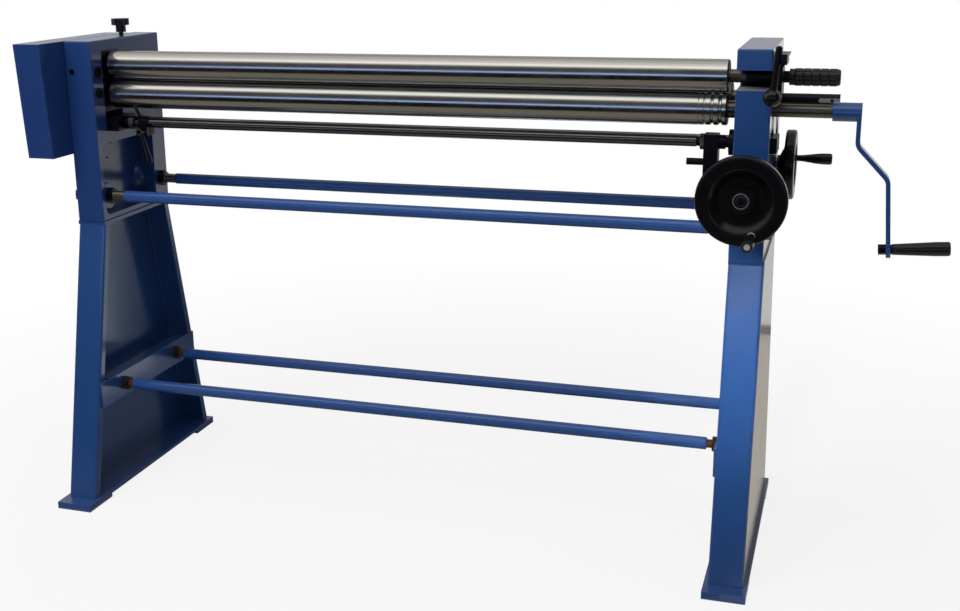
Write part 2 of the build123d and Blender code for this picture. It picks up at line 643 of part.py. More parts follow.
def lower_roll():
    """Lower roll with its journals, gear seat and long drive end."""
    roll = roll_body(ROLL_Y, LOWER_Z, GROOVES)
    past = XO + JOURNAL_PAST
    roll = roll + rod_x(LOWER_JOURNAL_R, -past, ROLL_LEFT, ROLL_Y, LOWER_Z)
    roll = roll + rod_x(GEAR_SEAT_R, GEAR_OUT, -past, ROLL_Y, LOWER_Z)
    roll = roll + rod_x(LOWER_JOURNAL_R, ROLL_RIGHT, past, ROLL_Y, LOWER_Z)
    return roll + rod_x(DRIVE_R, past, BOSS_END - CRANK_FLOOR, ROLL_Y, LOWER_Z)


def rear_roll():
    """Rear bending roll with journals and a keyed end on the right."""
    roll = roll_body(REAR_Y, REAR_Z, GROOVES)
    past = XO + JOURNAL_PAST
    end = XO + REAR_STUB_L
    roll = roll + rod_x(REAR_JOURNAL_R, -XO, ROLL_LEFT, REAR_Y, REAR_Z)
    roll = roll + rod_x(REAR_JOURNAL_R, ROLL_RIGHT, past, REAR_Y, REAR_Z)
    roll = roll + rod_x(REAR_STUB_R, past, end, REAR_Y, REAR_Z)
    front = REAR_Y - REAR_STUB_R
    half = KEYWAY_W / 2
    return roll - slab(end - KEYWAY_L, end, front, front + KEYWAY_DEPTH, REAR_Z - half, REAR_Z + half)


def upper_roll():
    """Upper roll: plain body, tongue in the swivel bearing on the left, slim journal on the right."""
    tongue_end = PIVOT_X + TONGUE_HALF
    half_w = FORK_R - FORK_WALL
    half_t = TONGUE_T / 2
    roll = roll_body(0, 0, ()) + rod_x(UPPER_JOURNAL_R, tongue_end, ROLL_LEFT)
    roll = roll + slab(PIVOT_X - TONGUE_HALF, tongue_end, -half_t, half_t, -half_w, half_w)
    roll = roll + rod_x(SLEEVE_JOURNAL_R, ROLL_RIGHT, SLEEVE_END - SLEEVE_FLOOR - JOURNAL_PAST)
    return Pos(0, ROLL_Y, UPPER_Z) * roll


def swivel_bush():
    """Ball-shaped bush that lets the upper roll turn and swing at its left end."""
    ring = Sphere(SWIVEL_R) & rod_x(SWIVEL_R, -SWIVEL_HALF, SWIVEL_HALF)
    ring = ring - rod_x(UPPER_JOURNAL_R + FIT, -SWIVEL_HALF, SWIVEL_HALF)
    return Pos(PIVOT_X, ROLL_Y, UPPER_Z) * ring


def upper_block():
    """Left bearing block of the upper roll with its ball socket and outer boss, still in one piece."""
    boss_end = GEAR_IN + BOSS_TO_GEAR
    block = slab(-XO, -XI, SLOT_FRONT, SLOT_REAR, UPPER_BLOCK_LOW, SLOT_HIGH)
    block = block + rod_x(STUB_R + UPPER_BOSS_WALL, boss_end, -XO, ROLL_Y, UPPER_Z)
    block = block - Pos(PIVOT_X, ROLL_Y, UPPER_Z) * Sphere(SWIVEL_R + FIT)
    block = block - rod_x(MOUTH_R, PIVOT_X, -XI, ROLL_Y, UPPER_Z)
    return block - rod_x(STUB_R + FIT, boss_end, PIVOT_X, ROLL_Y, UPPER_Z)


def upper_block_base():
    """Lower half of the split bearing block."""
    return split(upper_block(), bisect_by=Plane.XY.offset(UPPER_Z), keep=Keep.BOTTOM)


def upper_block_cap():
    """Upper half of the split bearing block."""
    return split(upper_block(), bisect_by=Plane.XY.offset(UPPER_Z), keep=Keep.TOP)


def upper_gear():
    """Upper spur gear in one piece with its stub shaft, forked for the roll's tongue."""
    step = -XO + STUB_SHOULDER
    tip = PIVOT_X + TONGUE_HALF - FORK_PLAY
    half = TONGUE_T / 2 + TONGUE_PLAY
    fork = rod_x(FORK_R, step, tip)
    fork = fork - slab(PIVOT_X - TONGUE_HALF - FORK_PLAY, tip, -half, half, -FORK_R, FORK_R)
    # Half a tooth past upside down, so that a gap faces the lower gear's upper tooth.
    gear = Rot(180 + 180.0 / GEAR_TEETH, 0, 0) * spur_gear()
    return Pos(0, ROLL_Y, UPPER_Z) * (gear + rod_x(STUB_R, GEAR_IN, step) + fork)


def lower_gear():
    """Lower spur gear on the roll's seat, one tooth pointing up into a gap of the upper gear."""
    return Pos(0, ROLL_Y, LOWER_Z) * (spur_gear() - rod_x(GEAR_SEAT_R, GEAR_OUT, GEAR_IN))


def upper_sleeve():
    """Bearing sleeve in the open slot, in one piece with the bar inside the grip."""
    sleeve = rod_x(SLEEVE_R, SLEEVE_START, SLEEVE_END)
    sleeve = sleeve - rod_x(SLEEVE_JOURNAL_R + FIT, SLEEVE_START, SLEEVE_END - SLEEVE_FLOOR)
    sleeve = sleeve + rod_x(NECK_R, SLEEVE_END, GRIP_START)
    return Pos(0, ROLL_Y, UPPER_Z) * (sleeve + rod_x(GRIP_CORE_R, GRIP_START, GRIP_END - GRIP_END_WALL))


def roll_grip():
    """Rubber grip on the end of the sleeve bar."""
    grip = rod_x(GRIP_R, GRIP_START, GRIP_END)
    grip = fillet(grip.edges().filter_by(GeomType.CIRCLE), GRIP_CROWN / 2)
    return Pos(0, ROLL_Y, UPPER_Z) * (grip - rod_x(GRIP_CORE_R, GRIP_START, GRIP_END - GRIP_END_WALL))


def latch_plate():
    """Plate on the sleeve's neck with a slanted head, and a front ear with the lever pin."""
    x0 = SLEEVE_END
    x1 = x0 + PLATE_T
    x2 = x1 + PLATE_LEAN
    low = UPPER_Z - PLATE_DOWN
    top = UPPER_Z + PLATE_TOP
    outline = [(x0, low), (x1, low), (x1, UPPER_Z + PLATE_SLANT), (x2, top), (x0, top)]
    plate = plate_xz(outline, ROLL_Y - PLATE_FRONT, ROLL_Y + PLATE_REAR)
    plate = plate - rod_x(NECK_R, x0, x2, ROLL_Y, UPPER_Z)
    ear_front = LATCH_Y - EAR_PAST
    ear_low = LATCH_Z - EAR_H / 2
    ear_rear = ROLL_Y - PLATE_FRONT + EAR_LAP
    ear = slab(EAR_X, x2, ear_front, ear_rear, ear_low, ear_low + EAR_H)
    pin = rod_x(LATCH_PIN_R, LATCH_X - LEVER_R, x2, LATCH_Y, LATCH_Z)
    return plate + ear + pin


def latch_lever():
    """Round lever on the ear pin, leaning outwards to its tip, with a stem for the ball."""
    lever = rod_z(LEVER_R, BALL_SEAT - BALL_DROP, LEVER_ABOVE)
    lever = fillet(lever.edges().group_by(Axis.Z)[-1], LEVER_R - LEVER_TIP_FLAT)
    lever = lever + rod_z(STEM_R, -BALL_DROP - STEM_DEPTH, BALL_SEAT - BALL_DROP)
    hole = rod_x(LATCH_PIN_R + FIT, -LEVER_R - LEVER_GAP, LEVER_R + LEVER_GAP)
    return Pos(LATCH_X, LATCH_Y, LATCH_Z) * (Rot(0, LEVER_LEAN, 0) * lever - hole)


def latch_ball():
    """Ball knob on the lever's lower end."""
    ball = Sphere(BALL_R) - rod_z(STEM_R, -STEM_DEPTH, BALL_SEAT) - rod_z(LEVER_R, BALL_SEAT, BALL_R)
    return Pos(LATCH_X, LATCH_Y, LATCH_Z) * Rot(0, LEVER_LEAN, 0) * Pos(0, 0, -BALL_DROP) * ball


def crank_arm():
    """Crank: boss on the drive end and a flat bar bent outwards, down to the handle bolt."""
    foot = CRANK_FOOT * Pos(0, -ROLL_Y, -CRANK_REACH - BAR_PAST)
    lower = (BAR_X + CRANK_OFFSET, 0, LOWER_Z - BEND_LOW)
    corners = [(BAR_X, 0, LOWER_Z), (BAR_X, 0, LOWER_Z - BEND_HIGH), lower, tuple(foot.position)]
    path = FilletPolyline(*corners, radius=BEND_R)
    bar = sweep(Plane(origin=corners[0], z_dir=(0, 0, -1)) * Rectangle(BAR_T, BAR_W), path=path)
    across = ShapeList([edge for edge in bar.edges() if abs(edge.length - BAR_T) < FIT])
    bar = fillet(across.sort_by(Axis.Z)[:2], BAR_END_R)
    arm = Pos(0, ROLL_Y, 0) * bar + rod_x(CRANK_BOSS_R, BOSS_START, BOSS_END, ROLL_Y, LOWER_Z)
    arm = arm - rod_x(DRIVE_R, BOSS_START, BOSS_END - CRANK_FLOOR, ROLL_Y, LOWER_Z)
    return arm - CRANK_PIN * rod_x(CRANK_BOLT_R, -BAR_HALF, BAR_HALF)


def crank_bolt():
    """Shoulder bolt of the crank handle with its hexagon head on the machine's side."""
    bolt = rod_x(CRANK_BOLT_R, -BAR_HALF, CRANK_GRIP_END - GRIP_FLOOR)
    bolt = bolt + hexagon_x(BOLT_HEAD, -BAR_HALF - BOLT_HEAD_T, -BAR_HALF, 0, 0)
    return CRANK_PIN * (bolt + rod_x(BOLT_COLLAR_R, BAR_HALF, CRANK_GRIP_START))


def hand_grip(length, waist_r, big_r, bore_r):
    """Hand grip along Z: waist at the base, swelling to a rounded end, blind bore for its pin."""
    section = turned_face([(0, 0), (waist_r, 0), (big_r, length * GRIP_SWELL), (big_r, length), (0, length)])
    end = section.vertices().sort_by(Axis.Z)[-2:].sort_by(Axis.X)[-1]
    grip = revolve(fillet(end, GRIP_CROWN), axis=Axis.Z)
    return grip - rod_z(bore_r, 0, length - GRIP_FLOOR)


def crank_handle():
    """Long grip that turns on the crank bolt."""
    grip = hand_grip(CRANK_GRIP_L, CRANK_GRIP_WAIST, CRANK_GRIP_R, CRANK_BOLT_R + FIT)
    return CRANK_PIN * Pos(CRANK_GRIP_START, 0, 0) * Rot(0, 90, 0) * grip


def handwheel(rim_r, rim_w, boss_r, back_r, dish):
    """Disc handwheel about Z: sloping back, flat rim face, slanted wall, sunk floor and hub."""
    face = dish + WHEEL_RIM
    rim_in = rim_r - rim_w
    floor = face - WHEEL_WALL
    outline = [
        (SPINDLE_R, 0),
        (WHEEL_HUB_R, 0),
        (WHEEL_HUB_R, dish * WHEEL_HUB_BACK),
        (back_r, dish),
        (rim_r, dish),
        (rim_r, face),
        (rim_in, face),
        (rim_in - WHEEL_WALL, floor),
        (boss_r, floor),
        (boss_r - WHEEL_BOSS_TAPER, face - WHEEL_SINK),
        (SPINDLE_R, face - WHEEL_SINK),
    ]
    section = turned_face(outline)
    corners = section.vertices().group_by(Axis.X)[-1] + section.vertices().group_by(Axis.Z)[-1]
    return revolve(fillet(ShapeList(set(corners)), WHEEL_EDGE_R), axis=Axis.Z)


def front_wheel():
    """Front handwheel with the hole for its handle stud."""
    wheel = handwheel(FRONT_WHEEL_R, FRONT_RIM_W, FRONT_BOSS_R, FRONT_BACK_R, FRONT_DISH)
    wheel = Pos(LIFT_X, FRONT_HUB_BACK, WHEEL_Z) * Rot(90, 0, 0) * wheel
    return wheel - rod_y(WHEEL_STUD_R, FRONT_FACE, FRONT_HUB_BACK, FRONT_PIN_X, FRONT_PIN_Z)


def front_stud():
    """Steel stud of the front wheel's handle."""
    tip = FRONT_GRIP_START - FRONT_GRIP_L + GRIP_FLOOR
    return rod_y(WHEEL_STUD_R, tip, FRONT_FACE + WHEEL_RIM, FRONT_PIN_X, FRONT_PIN_Z)


def front_handle():
    """Small grip that turns on the front wheel's stud."""
    grip = hand_grip(FRONT_GRIP_L, FRONT_GRIP_WAIST, FRONT_GRIP_R, WHEEL_STUD_R + FIT)
    return Pos(FRONT_PIN_X, FRONT_GRIP_START, FRONT_PIN_Z) * Rot(90, 0, 0) * grip


def side_wheel():
    """Side handwheel with the hole for its handle stud."""
    wheel = handwheel(SIDE_WHEEL_R, SIDE_RIM_W, SIDE_BOSS_R, SIDE_BACK_R, SIDE_DISH)
    wheel = Pos(SIDE_HUB_BACK, SIDE_Y, SIDE_Z) * Rot(0, 90, 0) * wheel
    return wheel - rod_x(WHEEL_STUD_R, SIDE_HUB_BACK, SIDE_FACE, SIDE_PIN_Y, SIDE_PIN_Z)


def side_stud():
    """Steel stud of the side wheel's handle."""
    tip = SIDE_FACE + SIDE_GRIP_L - GRIP_FLOOR
    return rod_x(WHEEL_STUD_R, SIDE_FACE - WHEEL_RIM, tip, SIDE_PIN_Y, SIDE_PIN_Z)


def side_handle():
    """Small grip that turns on the side wheel's stud."""
    grip = hand_grip(SIDE_GRIP_L, SIDE_GRIP_WAIST, SIDE_GRIP_R, WHEEL_STUD_R + FIT)
    return Pos(SIDE_FACE, SIDE_PIN_Y, SIDE_PIN_Z) * Rot(0, 90, 0) * grip


def front_spindle():
    """Front handwheel spindle with its shoulder and bevel pinion."""
    spindle = rod_y(SPINDLE_R, FRONT_HUB_FACE, ROLL_Y - BEVEL_R - BEVEL_HUB, LIFT_X, WHEEL_Z)
    spindle = spindle + rod_y(SPINDLE_R + SPINDLE_SHOULDER, FRONT_HUB_BACK, -HALF_DEPTH, LIFT_X, WHEEL_Z)
    return spindle + set_bevel((LIFT_X, ROLL_Y, WHEEL_Z), (0, -1, 0), (0, 0, 1), on_tooth=True)


def side_spindle():
    """Side handwheel spindle with its shoulder and bevel pinion."""
    drop = -REAR_WHEEL_DROP
    spindle = rod_x(SPINDLE_R, LIFT_X + BEVEL_R + BEVEL_HUB, SIDE_HUB_FACE, 0, drop)
    spindle = spindle + rod_x(SPINDLE_R + SPINDLE_SHOULDER, XO, SIDE_HUB_BACK, 0, drop)
    return REAR * (spindle + set_bevel((LIFT_X, 0, drop), (1, 0, 0), (0, 0, 1), on_tooth=True))


def lift_screw_right():
    """Right lift screw: bevel wheel to the front spindle below, bevel wheel to the cross shaft above."""
    low = WHEEL_Z + BEVEL_R
    screw = rod_z(SCREW_R, low, LOWER_BLOCK_LOW + SCREW_IN_NUT, LIFT_X, ROLL_Y)
    hub = RECESS_HIGH - low
    screw = screw + set_bevel((LIFT_X, ROLL_Y, WHEEL_Z), (0, 0, 1), (0, -1, 0), on_tooth=False, hub=hub)
    return screw + set_bevel((LIFT_X, ROLL_Y, CROSS_Z), (0, 0, -1), (-1, 0, 0), on_tooth=False)


def lift_screw_left():
    """Left lift screw with the bevel wheel to the cross shaft and a collar under the housing rib."""
    screw = rod_z(SCREW_R, RECESS_HIGH, LOWER_BLOCK_LOW + SCREW_IN_NUT, -LIFT_X, ROLL_Y)
    screw = screw + rod_z(SHAFT_R, RECESS_HIGH - COLLAR_H, RECESS_HIGH, -LIFT_X, ROLL_Y)
    return screw + set_bevel((-LIFT_X, ROLL_Y, CROSS_Z), (0, 0, -1), (1, 0, 0), on_tooth=False)


def cross_shaft():
    """Front cross shaft: bevel pinions at both ends, thread and collar at the right bracket."""
    thread = BRACKET_X0 - THREAD_L
    shaft = rod_x(SHAFT_R, -SHAFT_BACK, thread) + rod_x(THREAD_R, thread, BRACKET_X0)
    shaft = shaft + rod_x(SHAFT_R, BRACKET_X0, SHAFT_BACK)
    shaft = shaft + rod_x(SHAFT_COLLAR_R, BRACKET_X1, BRACKET_X1 + SHAFT_COLLAR_L)
    shaft = Pos(0, ROLL_Y, CROSS_Z) * shaft
    shaft = shaft + set_bevel((LIFT_X, ROLL_Y, CROSS_Z), (-1, 0, 0), (0, 0, -1), on_tooth=True)
    return shaft + set_bevel((-LIFT_X, ROLL_Y, CROSS_Z), (1, 0, 0), (0, 0, -1), on_tooth=True)


def shaft_nut():
    """Hexagon nut on the cross shaft against the right bracket."""
    return nut_x(SHAFT_NUT, THREAD_R, BRACKET_X0 - SHAFT_NUT_T, BRACKET_X0, ROLL_Y, CROSS_Z)


def rear_shaft():
    """Rear cross shaft with bevel pinions at both ends."""
    drop = -REAR_SHAFT_DROP
    shaft = rod_x(SHAFT_R, -SHAFT_BACK, SHAFT_BACK, 0, drop)
    shaft = shaft + set_bevel((LIFT_X, 0, drop), (-1, 0, 0), (0, 0, -1), on_tooth=True)
    return REAR * (shaft + set_bevel((-LIFT_X, 0, drop), (1, 0, 0), (0, 0, -1), on_tooth=True))


def rear_screw_right():
    """Right slide screw of the rear roll with two bevel wheels."""
    low = -REAR_WHEEL_DROP + BEVEL_R
    screw = rod_z(SCREW_R, low, REAR_NUT_TOP - SCREW_SHORT, LIFT_X, 0)
    hub = REAR_RIB_LOW - low
    screw = screw + set_bevel((LIFT_X, 0, -REAR_WHEEL_DROP), (0, 0, 1), (1, 0, 0), on_tooth=False, hub=hub)
    apex = (LIFT_X, 0, -REAR_SHAFT_DROP)
    return REAR * (screw + set_bevel(apex, (0, 0, -1), (-1, 0, 0), on_tooth=False, hub=REAR_HUB))


def rear_screw_left():
    """Left slide screw of the rear roll with one bevel wheel."""
    foot = REAR_SLOT_LOW - REAR_SCREW_FOOT + SCREW_SHORT
    screw = rod_z(SCREW_R, foot, REAR_NUT_TOP - SCREW_SHORT, -LIFT_X, 0)
    apex = (-LIFT_X, 0, -REAR_SHAFT_DROP)
    return REAR * (screw + set_bevel(apex, (0, 0, -1), (1, 0, 0), on_tooth=False, hub=REAR_HUB))


def keeper_plates():
    """Steel plates over the lower part of the slanted slots, with the bearings of the rear cross shaft."""
    half = REAR_HALF + KEEPER_LAP
    plate = slab(XI - KEEPER_T, XI, -half, half, REAR_SLOT_LOW - KEEPER_LAP, -KEEPER_TOP)
    plate = plate - rod_x(SHAFT_R + FIT, XI - KEEPER_T, XI, 0, -REAR_SHAFT_DROP)
    return pair(REAR * plate)


def shaft_flange():
    """Right bearing flange of the front cross shaft on the housing's inner face."""
    flange = rod_x(FLANGE_R, XI - FLANGE_T, XI, ROLL_Y, CROSS_Z)
    return flange - rod_x(SHAFT_R + FIT, XI - FLANGE_T, XI, ROLL_Y, CROSS_Z)


def shaft_bracket():
    """Upright support of the cross shaft with a foot into the housing's pocket."""
    front = ROLL_Y - BRACKET_FRONT
    rear = ROLL_Y + BRACKET_REAR
    low = FOOT_HIGH - BRACKET_FOOT
    block = slab(BRACKET_X0, BRACKET_X1, front, rear, low, CROSS_Z + BRACKET_ABOVE)
    block = block + slab(BRACKET_X1, WEB_X, front, rear, low, FOOT_HIGH)
    block = block - rod_x(SHAFT_R + FIT, BRACKET_X0, BRACKET_X1, ROLL_Y, CROSS_Z)
    return block - rod_x(BAR_R, BRACKET_X0, BRACKET_X0 + BAR_SEAT, ROLL_Y, CROSS_Z - BAR_DROP)


def bracket_bar():
    """Short round bar set into the bracket, pointing inwards."""
    return rod_x(BAR_R, BRACKET_X0 - BAR_OUT, BRACKET_X0 + BAR_SEAT, ROLL_Y, CROSS_Z - BAR_DROP)


def clamp_collar():
    """Left bearing block of the cross shaft with a hub and a bridged split ring that the lever pinches."""
    ring_x0 = CLAMP_X - CLAMP_RING_W / 2
    ring_x1 = CLAMP_X + CLAMP_RING_W / 2
    hub_x1 = -XI + CLAMP_HUB_L
    lug_low = CLAMP_Z - CLAMP_LUG_BELOW
    roof = CROSS_Z + CLAMP_RING_R - BRIDGE_LAP
    body = Pos(-XI + CLAMP_SEAT_T / 2, ROLL_Y, CROSS_Z) * Box(CLAMP_SEAT_T, CLAMP_SEAT_W, CLAMP_SEAT_H)
    body = body + rod_x(CLAMP_RING_R, -XI, hub_x1, ROLL_Y, CROSS_Z)
    body = body + rod_x(CLAMP_RING_R, ring_x0, ring_x1, ROLL_Y, CROSS_Z)
    from_x = hub_x1 - BRIDGE_LAP
    to_x = ring_x0 + BRIDGE_LAP
    bridge = slab(from_x, to_x, ROLL_Y - BRIDGE_HALF, ROLL_Y + BRIDGE_HALF, roof - BRIDGE_T, roof)
    lug = slab(ring_x0, ring_x1, ROLL_Y - CLAMP_LUG, ROLL_Y + CLAMP_LUG, lug_low, CROSS_Z)
    body = body + bridge + lug - rod_x(SHAFT_R + FIT, -XI, ring_x1, ROLL_Y, CROSS_Z)
    half = CLAMP_SLIT / 2
    body = body - slab(ring_x0, ring_x1, ROLL_Y - half, ROLL_Y + half, lug_low, CROSS_Z)
    return body - rod_y(CLAMP_SCREW_R + FIT, ROLL_Y - CLAMP_LUG, ROLL_Y + CLAMP_LUG, CLAMP_X, CLAMP_Z)


def clamp_lever():
    """Clamp lever: hub and screw along Y, arm hanging down to the right and thicker at its end."""
    front = ROLL_Y - CLAMP_LUG
    lever = rod_y(CLAMP_LEVER_HUB_R, front - CLAMP_LEVER_HUB_L, front, CLAMP_X, CLAMP_Z)
    lever = lever + rod_y(CLAMP_SCREW_R, front, ROLL_Y + CLAMP_LUG, CLAMP_X, CLAMP_Z)
    arm = Pos(0, 0, -CLAMP_ARM_L / 2) * Cone(CLAMP_ARM_TIP_R, CLAMP_ARM_ROOT_R, CLAMP_ARM_L)
    arm = fillet(arm.edges().group_by(Axis.Z)[0], CLAMP_ARM_TIP_R / 2)
    place = Pos(CLAMP_X, front - CLAMP_LEVER_HUB_L / 2, CLAMP_Z)
    return lever + place * Rot(0, -CLAMP_ARM_LEAN, 0) * arm


def star_knob():
    """Star knob with its long locking screw in the left housing's top."""
    hub_low = HOUSING_TOP + KNOB_RISE
    head_low = hub_low + KNOB_HUB_H
    head_top = head_low + KNOB_H
    ring = KNOB_R - KNOB_LOBE_R
    knob = rod_z(ring + KNOB_WEB, head_low, head_top)
    lobe = rod_z(KNOB_LOBE_R, head_low, head_top, ring, 0)
    knob = knob + [Rot(0, 0, 360.0 * i / KNOB_LOBES) * lobe for i in range(KNOB_LOBES)]
    knob = knob + rod_z(KNOB_HUB_R, hub_low, head_low) + rod_z(KNOB_SCREW_R, KNOB_TIP, hub_low)
    return Pos(KNOB_X, KNOB_Y, 0) * knob


def end_cap():
    """Cap over the cross shaft's gear on the outer side of the right housing."""
    return Pos(XO + CAP_T / 2, ROLL_Y, CROSS_Z) * Box(CAP_T, CAP_W, CAP_H)


def bearing_screws():
    """Two socket screws in front of the left bearing slot."""
    screws = []
    top = -XI + BEARING_SCREW_H
    for z in (UPPER_Z - BEARING_SCREW_DOWN, LOWER_Z + BEARING_SCREW_UP):
        screw = rod_x(BEARING_SCREW_R, -XI, top, BEARING_SCREW_Y, z)
        screws.append(screw - rod_x(BEARING_SOCKET_R, top - BEARING_SOCKET_DEPTH, top, BEARING_SCREW_Y, z))
    return group(screws)


def gear_cover():
    """Left-hand box over the gears: slanted front, open against the housing."""
    w = COVER_WALL

    def outline(inset):
        """Side outline of the box, moved inwards."""
        low = COVER_LOW + inset
        top = HOUSING_TOP - inset
        rear = COVER_REAR - inset
        return [(COVER_FRONT_LOW + inset, low), (rear, low), (rear, top), (COVER_FRONT_TOP + inset, top)]

    box = plate_yz(outline(0), COVER_OUT, -XO) - plate_yz(outline(w), COVER_OUT + w, -XO - w)
    return box - slab(-XO - w, -XO, w - HALF_DEPTH, COVER_REAR - w, COVER_LOW + w, HOUSING_TOP - w)


def tie_rods(y, z, short, stud_r, stud_end):
    """Front and rear tie rod with chamfered ends and a turned-down stud at each end."""
    full = XI - short
    rod = chamfer(rod_x(TIE_R, -full, full).edges().filter_by(GeomType.CIRCLE), TIE_CHAMFER)
    rod = rod + rod_x(stud_r, -stud_end, stud_end)
    return group([Pos(0, -y, z) * rod, Pos(0, y, z) * rod])


def upper_tie_rods():
    """Pair of tie rods between the housings."""
    end = XO + TIE_NUT_T + TIE_STUD_PAST
    return tie_rods(UPPER_TIE_Y, UPPER_TIE_Z, UPPER_TIE_SHORT, UPPER_STUD_R, end)


def lower_tie_rods():
    """Pair of tie rods between the stands."""
    end = XI + TIE_NUT_T + TIE_STUD_PAST
    return tie_rods(LOWER_TIE_Y, LOWER_TIE_Z, LOWER_TIE_SHORT, LOWER_STUD_R, end)


def rod_nuts(flats, stud_r, y, z, inside, outside):
    """Nuts of one pair of tie rods: on the inner and outer side of what the rods hold, at both ends."""
    nuts = []
    for x in (inside - TIE_NUT_T, outside):
        for side in (-y, y):
            nut = nut_x(flats, stud_r, x, x + TIE_NUT_T, side, z)
            nuts += [nut, mirrored(nut)]
    return group(nuts)


def upper_rod_nuts():
    """Nuts of the upper tie rods on both sides of the housings."""
    return rod_nuts(UPPER_TIE_NUT, UPPER_STUD_R, UPPER_TIE_Y, UPPER_TIE_Z, XI, XO)


def lower_rod_nuts():
    """Nuts of the lower tie rods in front of and behind the stand braces."""
    return rod_nuts(LOWER_TIE_NUT, LOWER_STUD_R, LOWER_TIE_Y, LOWER_TIE_Z, BRACE_X, XI)


def stand_outline(inset):
    """Side outline of a stand, its sloping edges moved inwards."""
    top = STAND_TOP_Y - inset
    foot = [(STAND_FRONT + inset, STAND_BASE), (STAND_REAR - inset, STAND_BASE)]
    return [(-top, STAND_HIGH)] + foot + [(top, STAND_HIGH)]


def bent(plate, radius):
    """Plate with its four long sloping edges rounded like sheet bends."""
    return fillet([e for e in plate.edges() if abs(e.tangent_at(0.5).Z) > 0.5], radius)


def stand():
    """Right-hand folded stand: outer web, front and rear flanges and their return lips."""
    shell = bent(plate_yz(stand_outline(0), XI, XI + STAND_W), STAND_BEND_R)
    hollow = plate_yz(stand_outline(SHEET), XI + SHEET, XI + STAND_W - SHEET)
    hollow = bent(hollow, STAND_BEND_R - SHEET)
    return shell - hollow - plate_yz(stand_outline(LIP), XI, XI + SHEET)


def stand_tops():
    """Top plates of the stands under the housings."""
    return pair(slab(XI, XI + STAND_W, -STAND_TOP_Y, STAND_TOP_Y, STAND_HIGH, STAND_H))


def stand_brace():
    """Right-hand angle across the lips that takes the lower tie rods."""
    low = LOWER_TIE_Z - BRACE_H / 2
    top = low + BRACE_H
    share = (STAND_HIGH - low) / (STAND_HIGH - STAND_BASE)
    front = -STAND_TOP_Y + (STAND_FRONT + STAND_TOP_Y) * share + LIP - BRACE_LAP
    rear = STAND_TOP_Y + (STAND_REAR - STAND_TOP_Y) * share - LIP + BRACE_LAP
    brace = slab(BRACE_X, XI, front, rear, low, top)
    brace = brace + slab(XI, XI + BRACE_LEG, front + BRACE_LEG_IN, rear - BRACE_LEG_IN, top - SHEET, top)
    for y in (-LOWER_TIE_Y, LOWER_TIE_Y):
        brace = brace - rod_x(LOWER_STUD_R + FIT, BRACE_X, XI, y, LOWER_TIE_Z)
    return brace


def base_plates():
    """Base plates under the stands."""
    half = BASE_W / 2
    return pair(slab(STAND_MID - half, STAND_MID + half, BASE_FRONT, BASE_REAR, PAD_T, STAND_BASE))


def foot_pads():
    """Front and rear pads under both base plates."""
    pads = []
    for y0, y1 in ((BASE_FRONT, BASE_FRONT + PAD_FRONT_L), (BASE_REAR - PAD_REAR_L, BASE_REAR)):
        pad = slab(STAND_MID - BASE_W / 2, STAND_MID + BASE_W / 2, y0, y1, 0, PAD_T)
        pads += [pad, mirrored(pad)]
    return group(pads)


NODES = {
    "housing_left": housing_left,
    "housing_right": housing_right,
    "stand_left": lambda: mirrored(stand()),
    "stand_right": stand,
    "stand_tops": stand_tops,
    "stand_brace_left": lambda: mirrored(stand_brace()),
    "stand_brace_right": stand_brace,
    "base_plates": base_plates,
    "foot_pads": foot_pads,
    "upper_tie_rods": upper_tie_rods,
    "lower_tie_rods": lower_tie_rods,
    "upper_rod_nuts": upper_rod_nuts,
    "lower_rod_nuts": lower_rod_nuts,
    "gear_cover": gear_cover,
    "upper_block_base": upper_block_base,
    "upper_block_cap": upper_block_cap,
    "bearing_screws": bearing_screws,
    "clamp_collar": clamp_collar,
    "shaft_flange": shaft_flange,
    "shaft_bracket": shaft_bracket,
    "bracket_bar": bracket_bar,
    "end_cap": end_cap,
    "keeper_plates": keeper_plates,
    "lower_block_left": lambda: mirrored(lower_block()),
    "lower_block_right": lower_block,
    "lower_roll": lower_roll,
    "lower_gear": lower_gear,
    "crank_arm": crank_arm,
    "crank_bolt": crank_bolt,
    "crank_handle": crank_handle,
    "rear_block_left": lambda: mirrored(rear_block()),
    "rear_block_right": rear_block,
    "rear_roll": rear_roll,
    "swivel_bush": swivel_bush,
    "upper_sleeve": upper_sleeve,
    "roll_grip": roll_grip,
    "latch_plate": latch_plate,
    "latch_lever": latch_lever,
    "latch_ball": latch_ball,
    "upper_roll": upper_roll,
    "upper_gear": upper_gear,
    "front_wheel": front_wheel,
    "front_stud": front_stud,
    "front_spindle": front_spindle,
    "front_handle": front_handle,
    "lift_screw_right": lift_screw_right,
    "lift_screw_left": lift_screw_left,
    "cross_shaft": cross_shaft,
    "shaft_nut": shaft_nut,
    "side_wheel": side_wheel,
    "side_stud": side_stud,
    "side_spindle": side_spindle,
    "side_handle": side_handle,
    "rear_screw_right": rear_screw_right,
    "rear_screw_left": rear_screw_left,
    "rear_shaft": rear_shaft,
    "star_knob": star_knob,
    "clamp_lever": clamp_lever,
}

os.makedirs("parts", exist_ok=True)
for node, make in NODES.items():
    piece = ORIGIN * make()
    piece.label = node
    export_step(piece, f"parts/{node}.step")
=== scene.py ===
"""Dresses the plate rolling machine and sets up its studio.

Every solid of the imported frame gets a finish. Fine pieces that the solids leave out, such as threads,
screw heads and the moulded grip, are worked out as surfaces on grids. Lengths are in metres.
"""

import logging
from dataclasses import dataclass
from enum import Enum
from typing import Any

import bmesh
import bpy
import numpy as np
from mathutils import Matrix, Vector


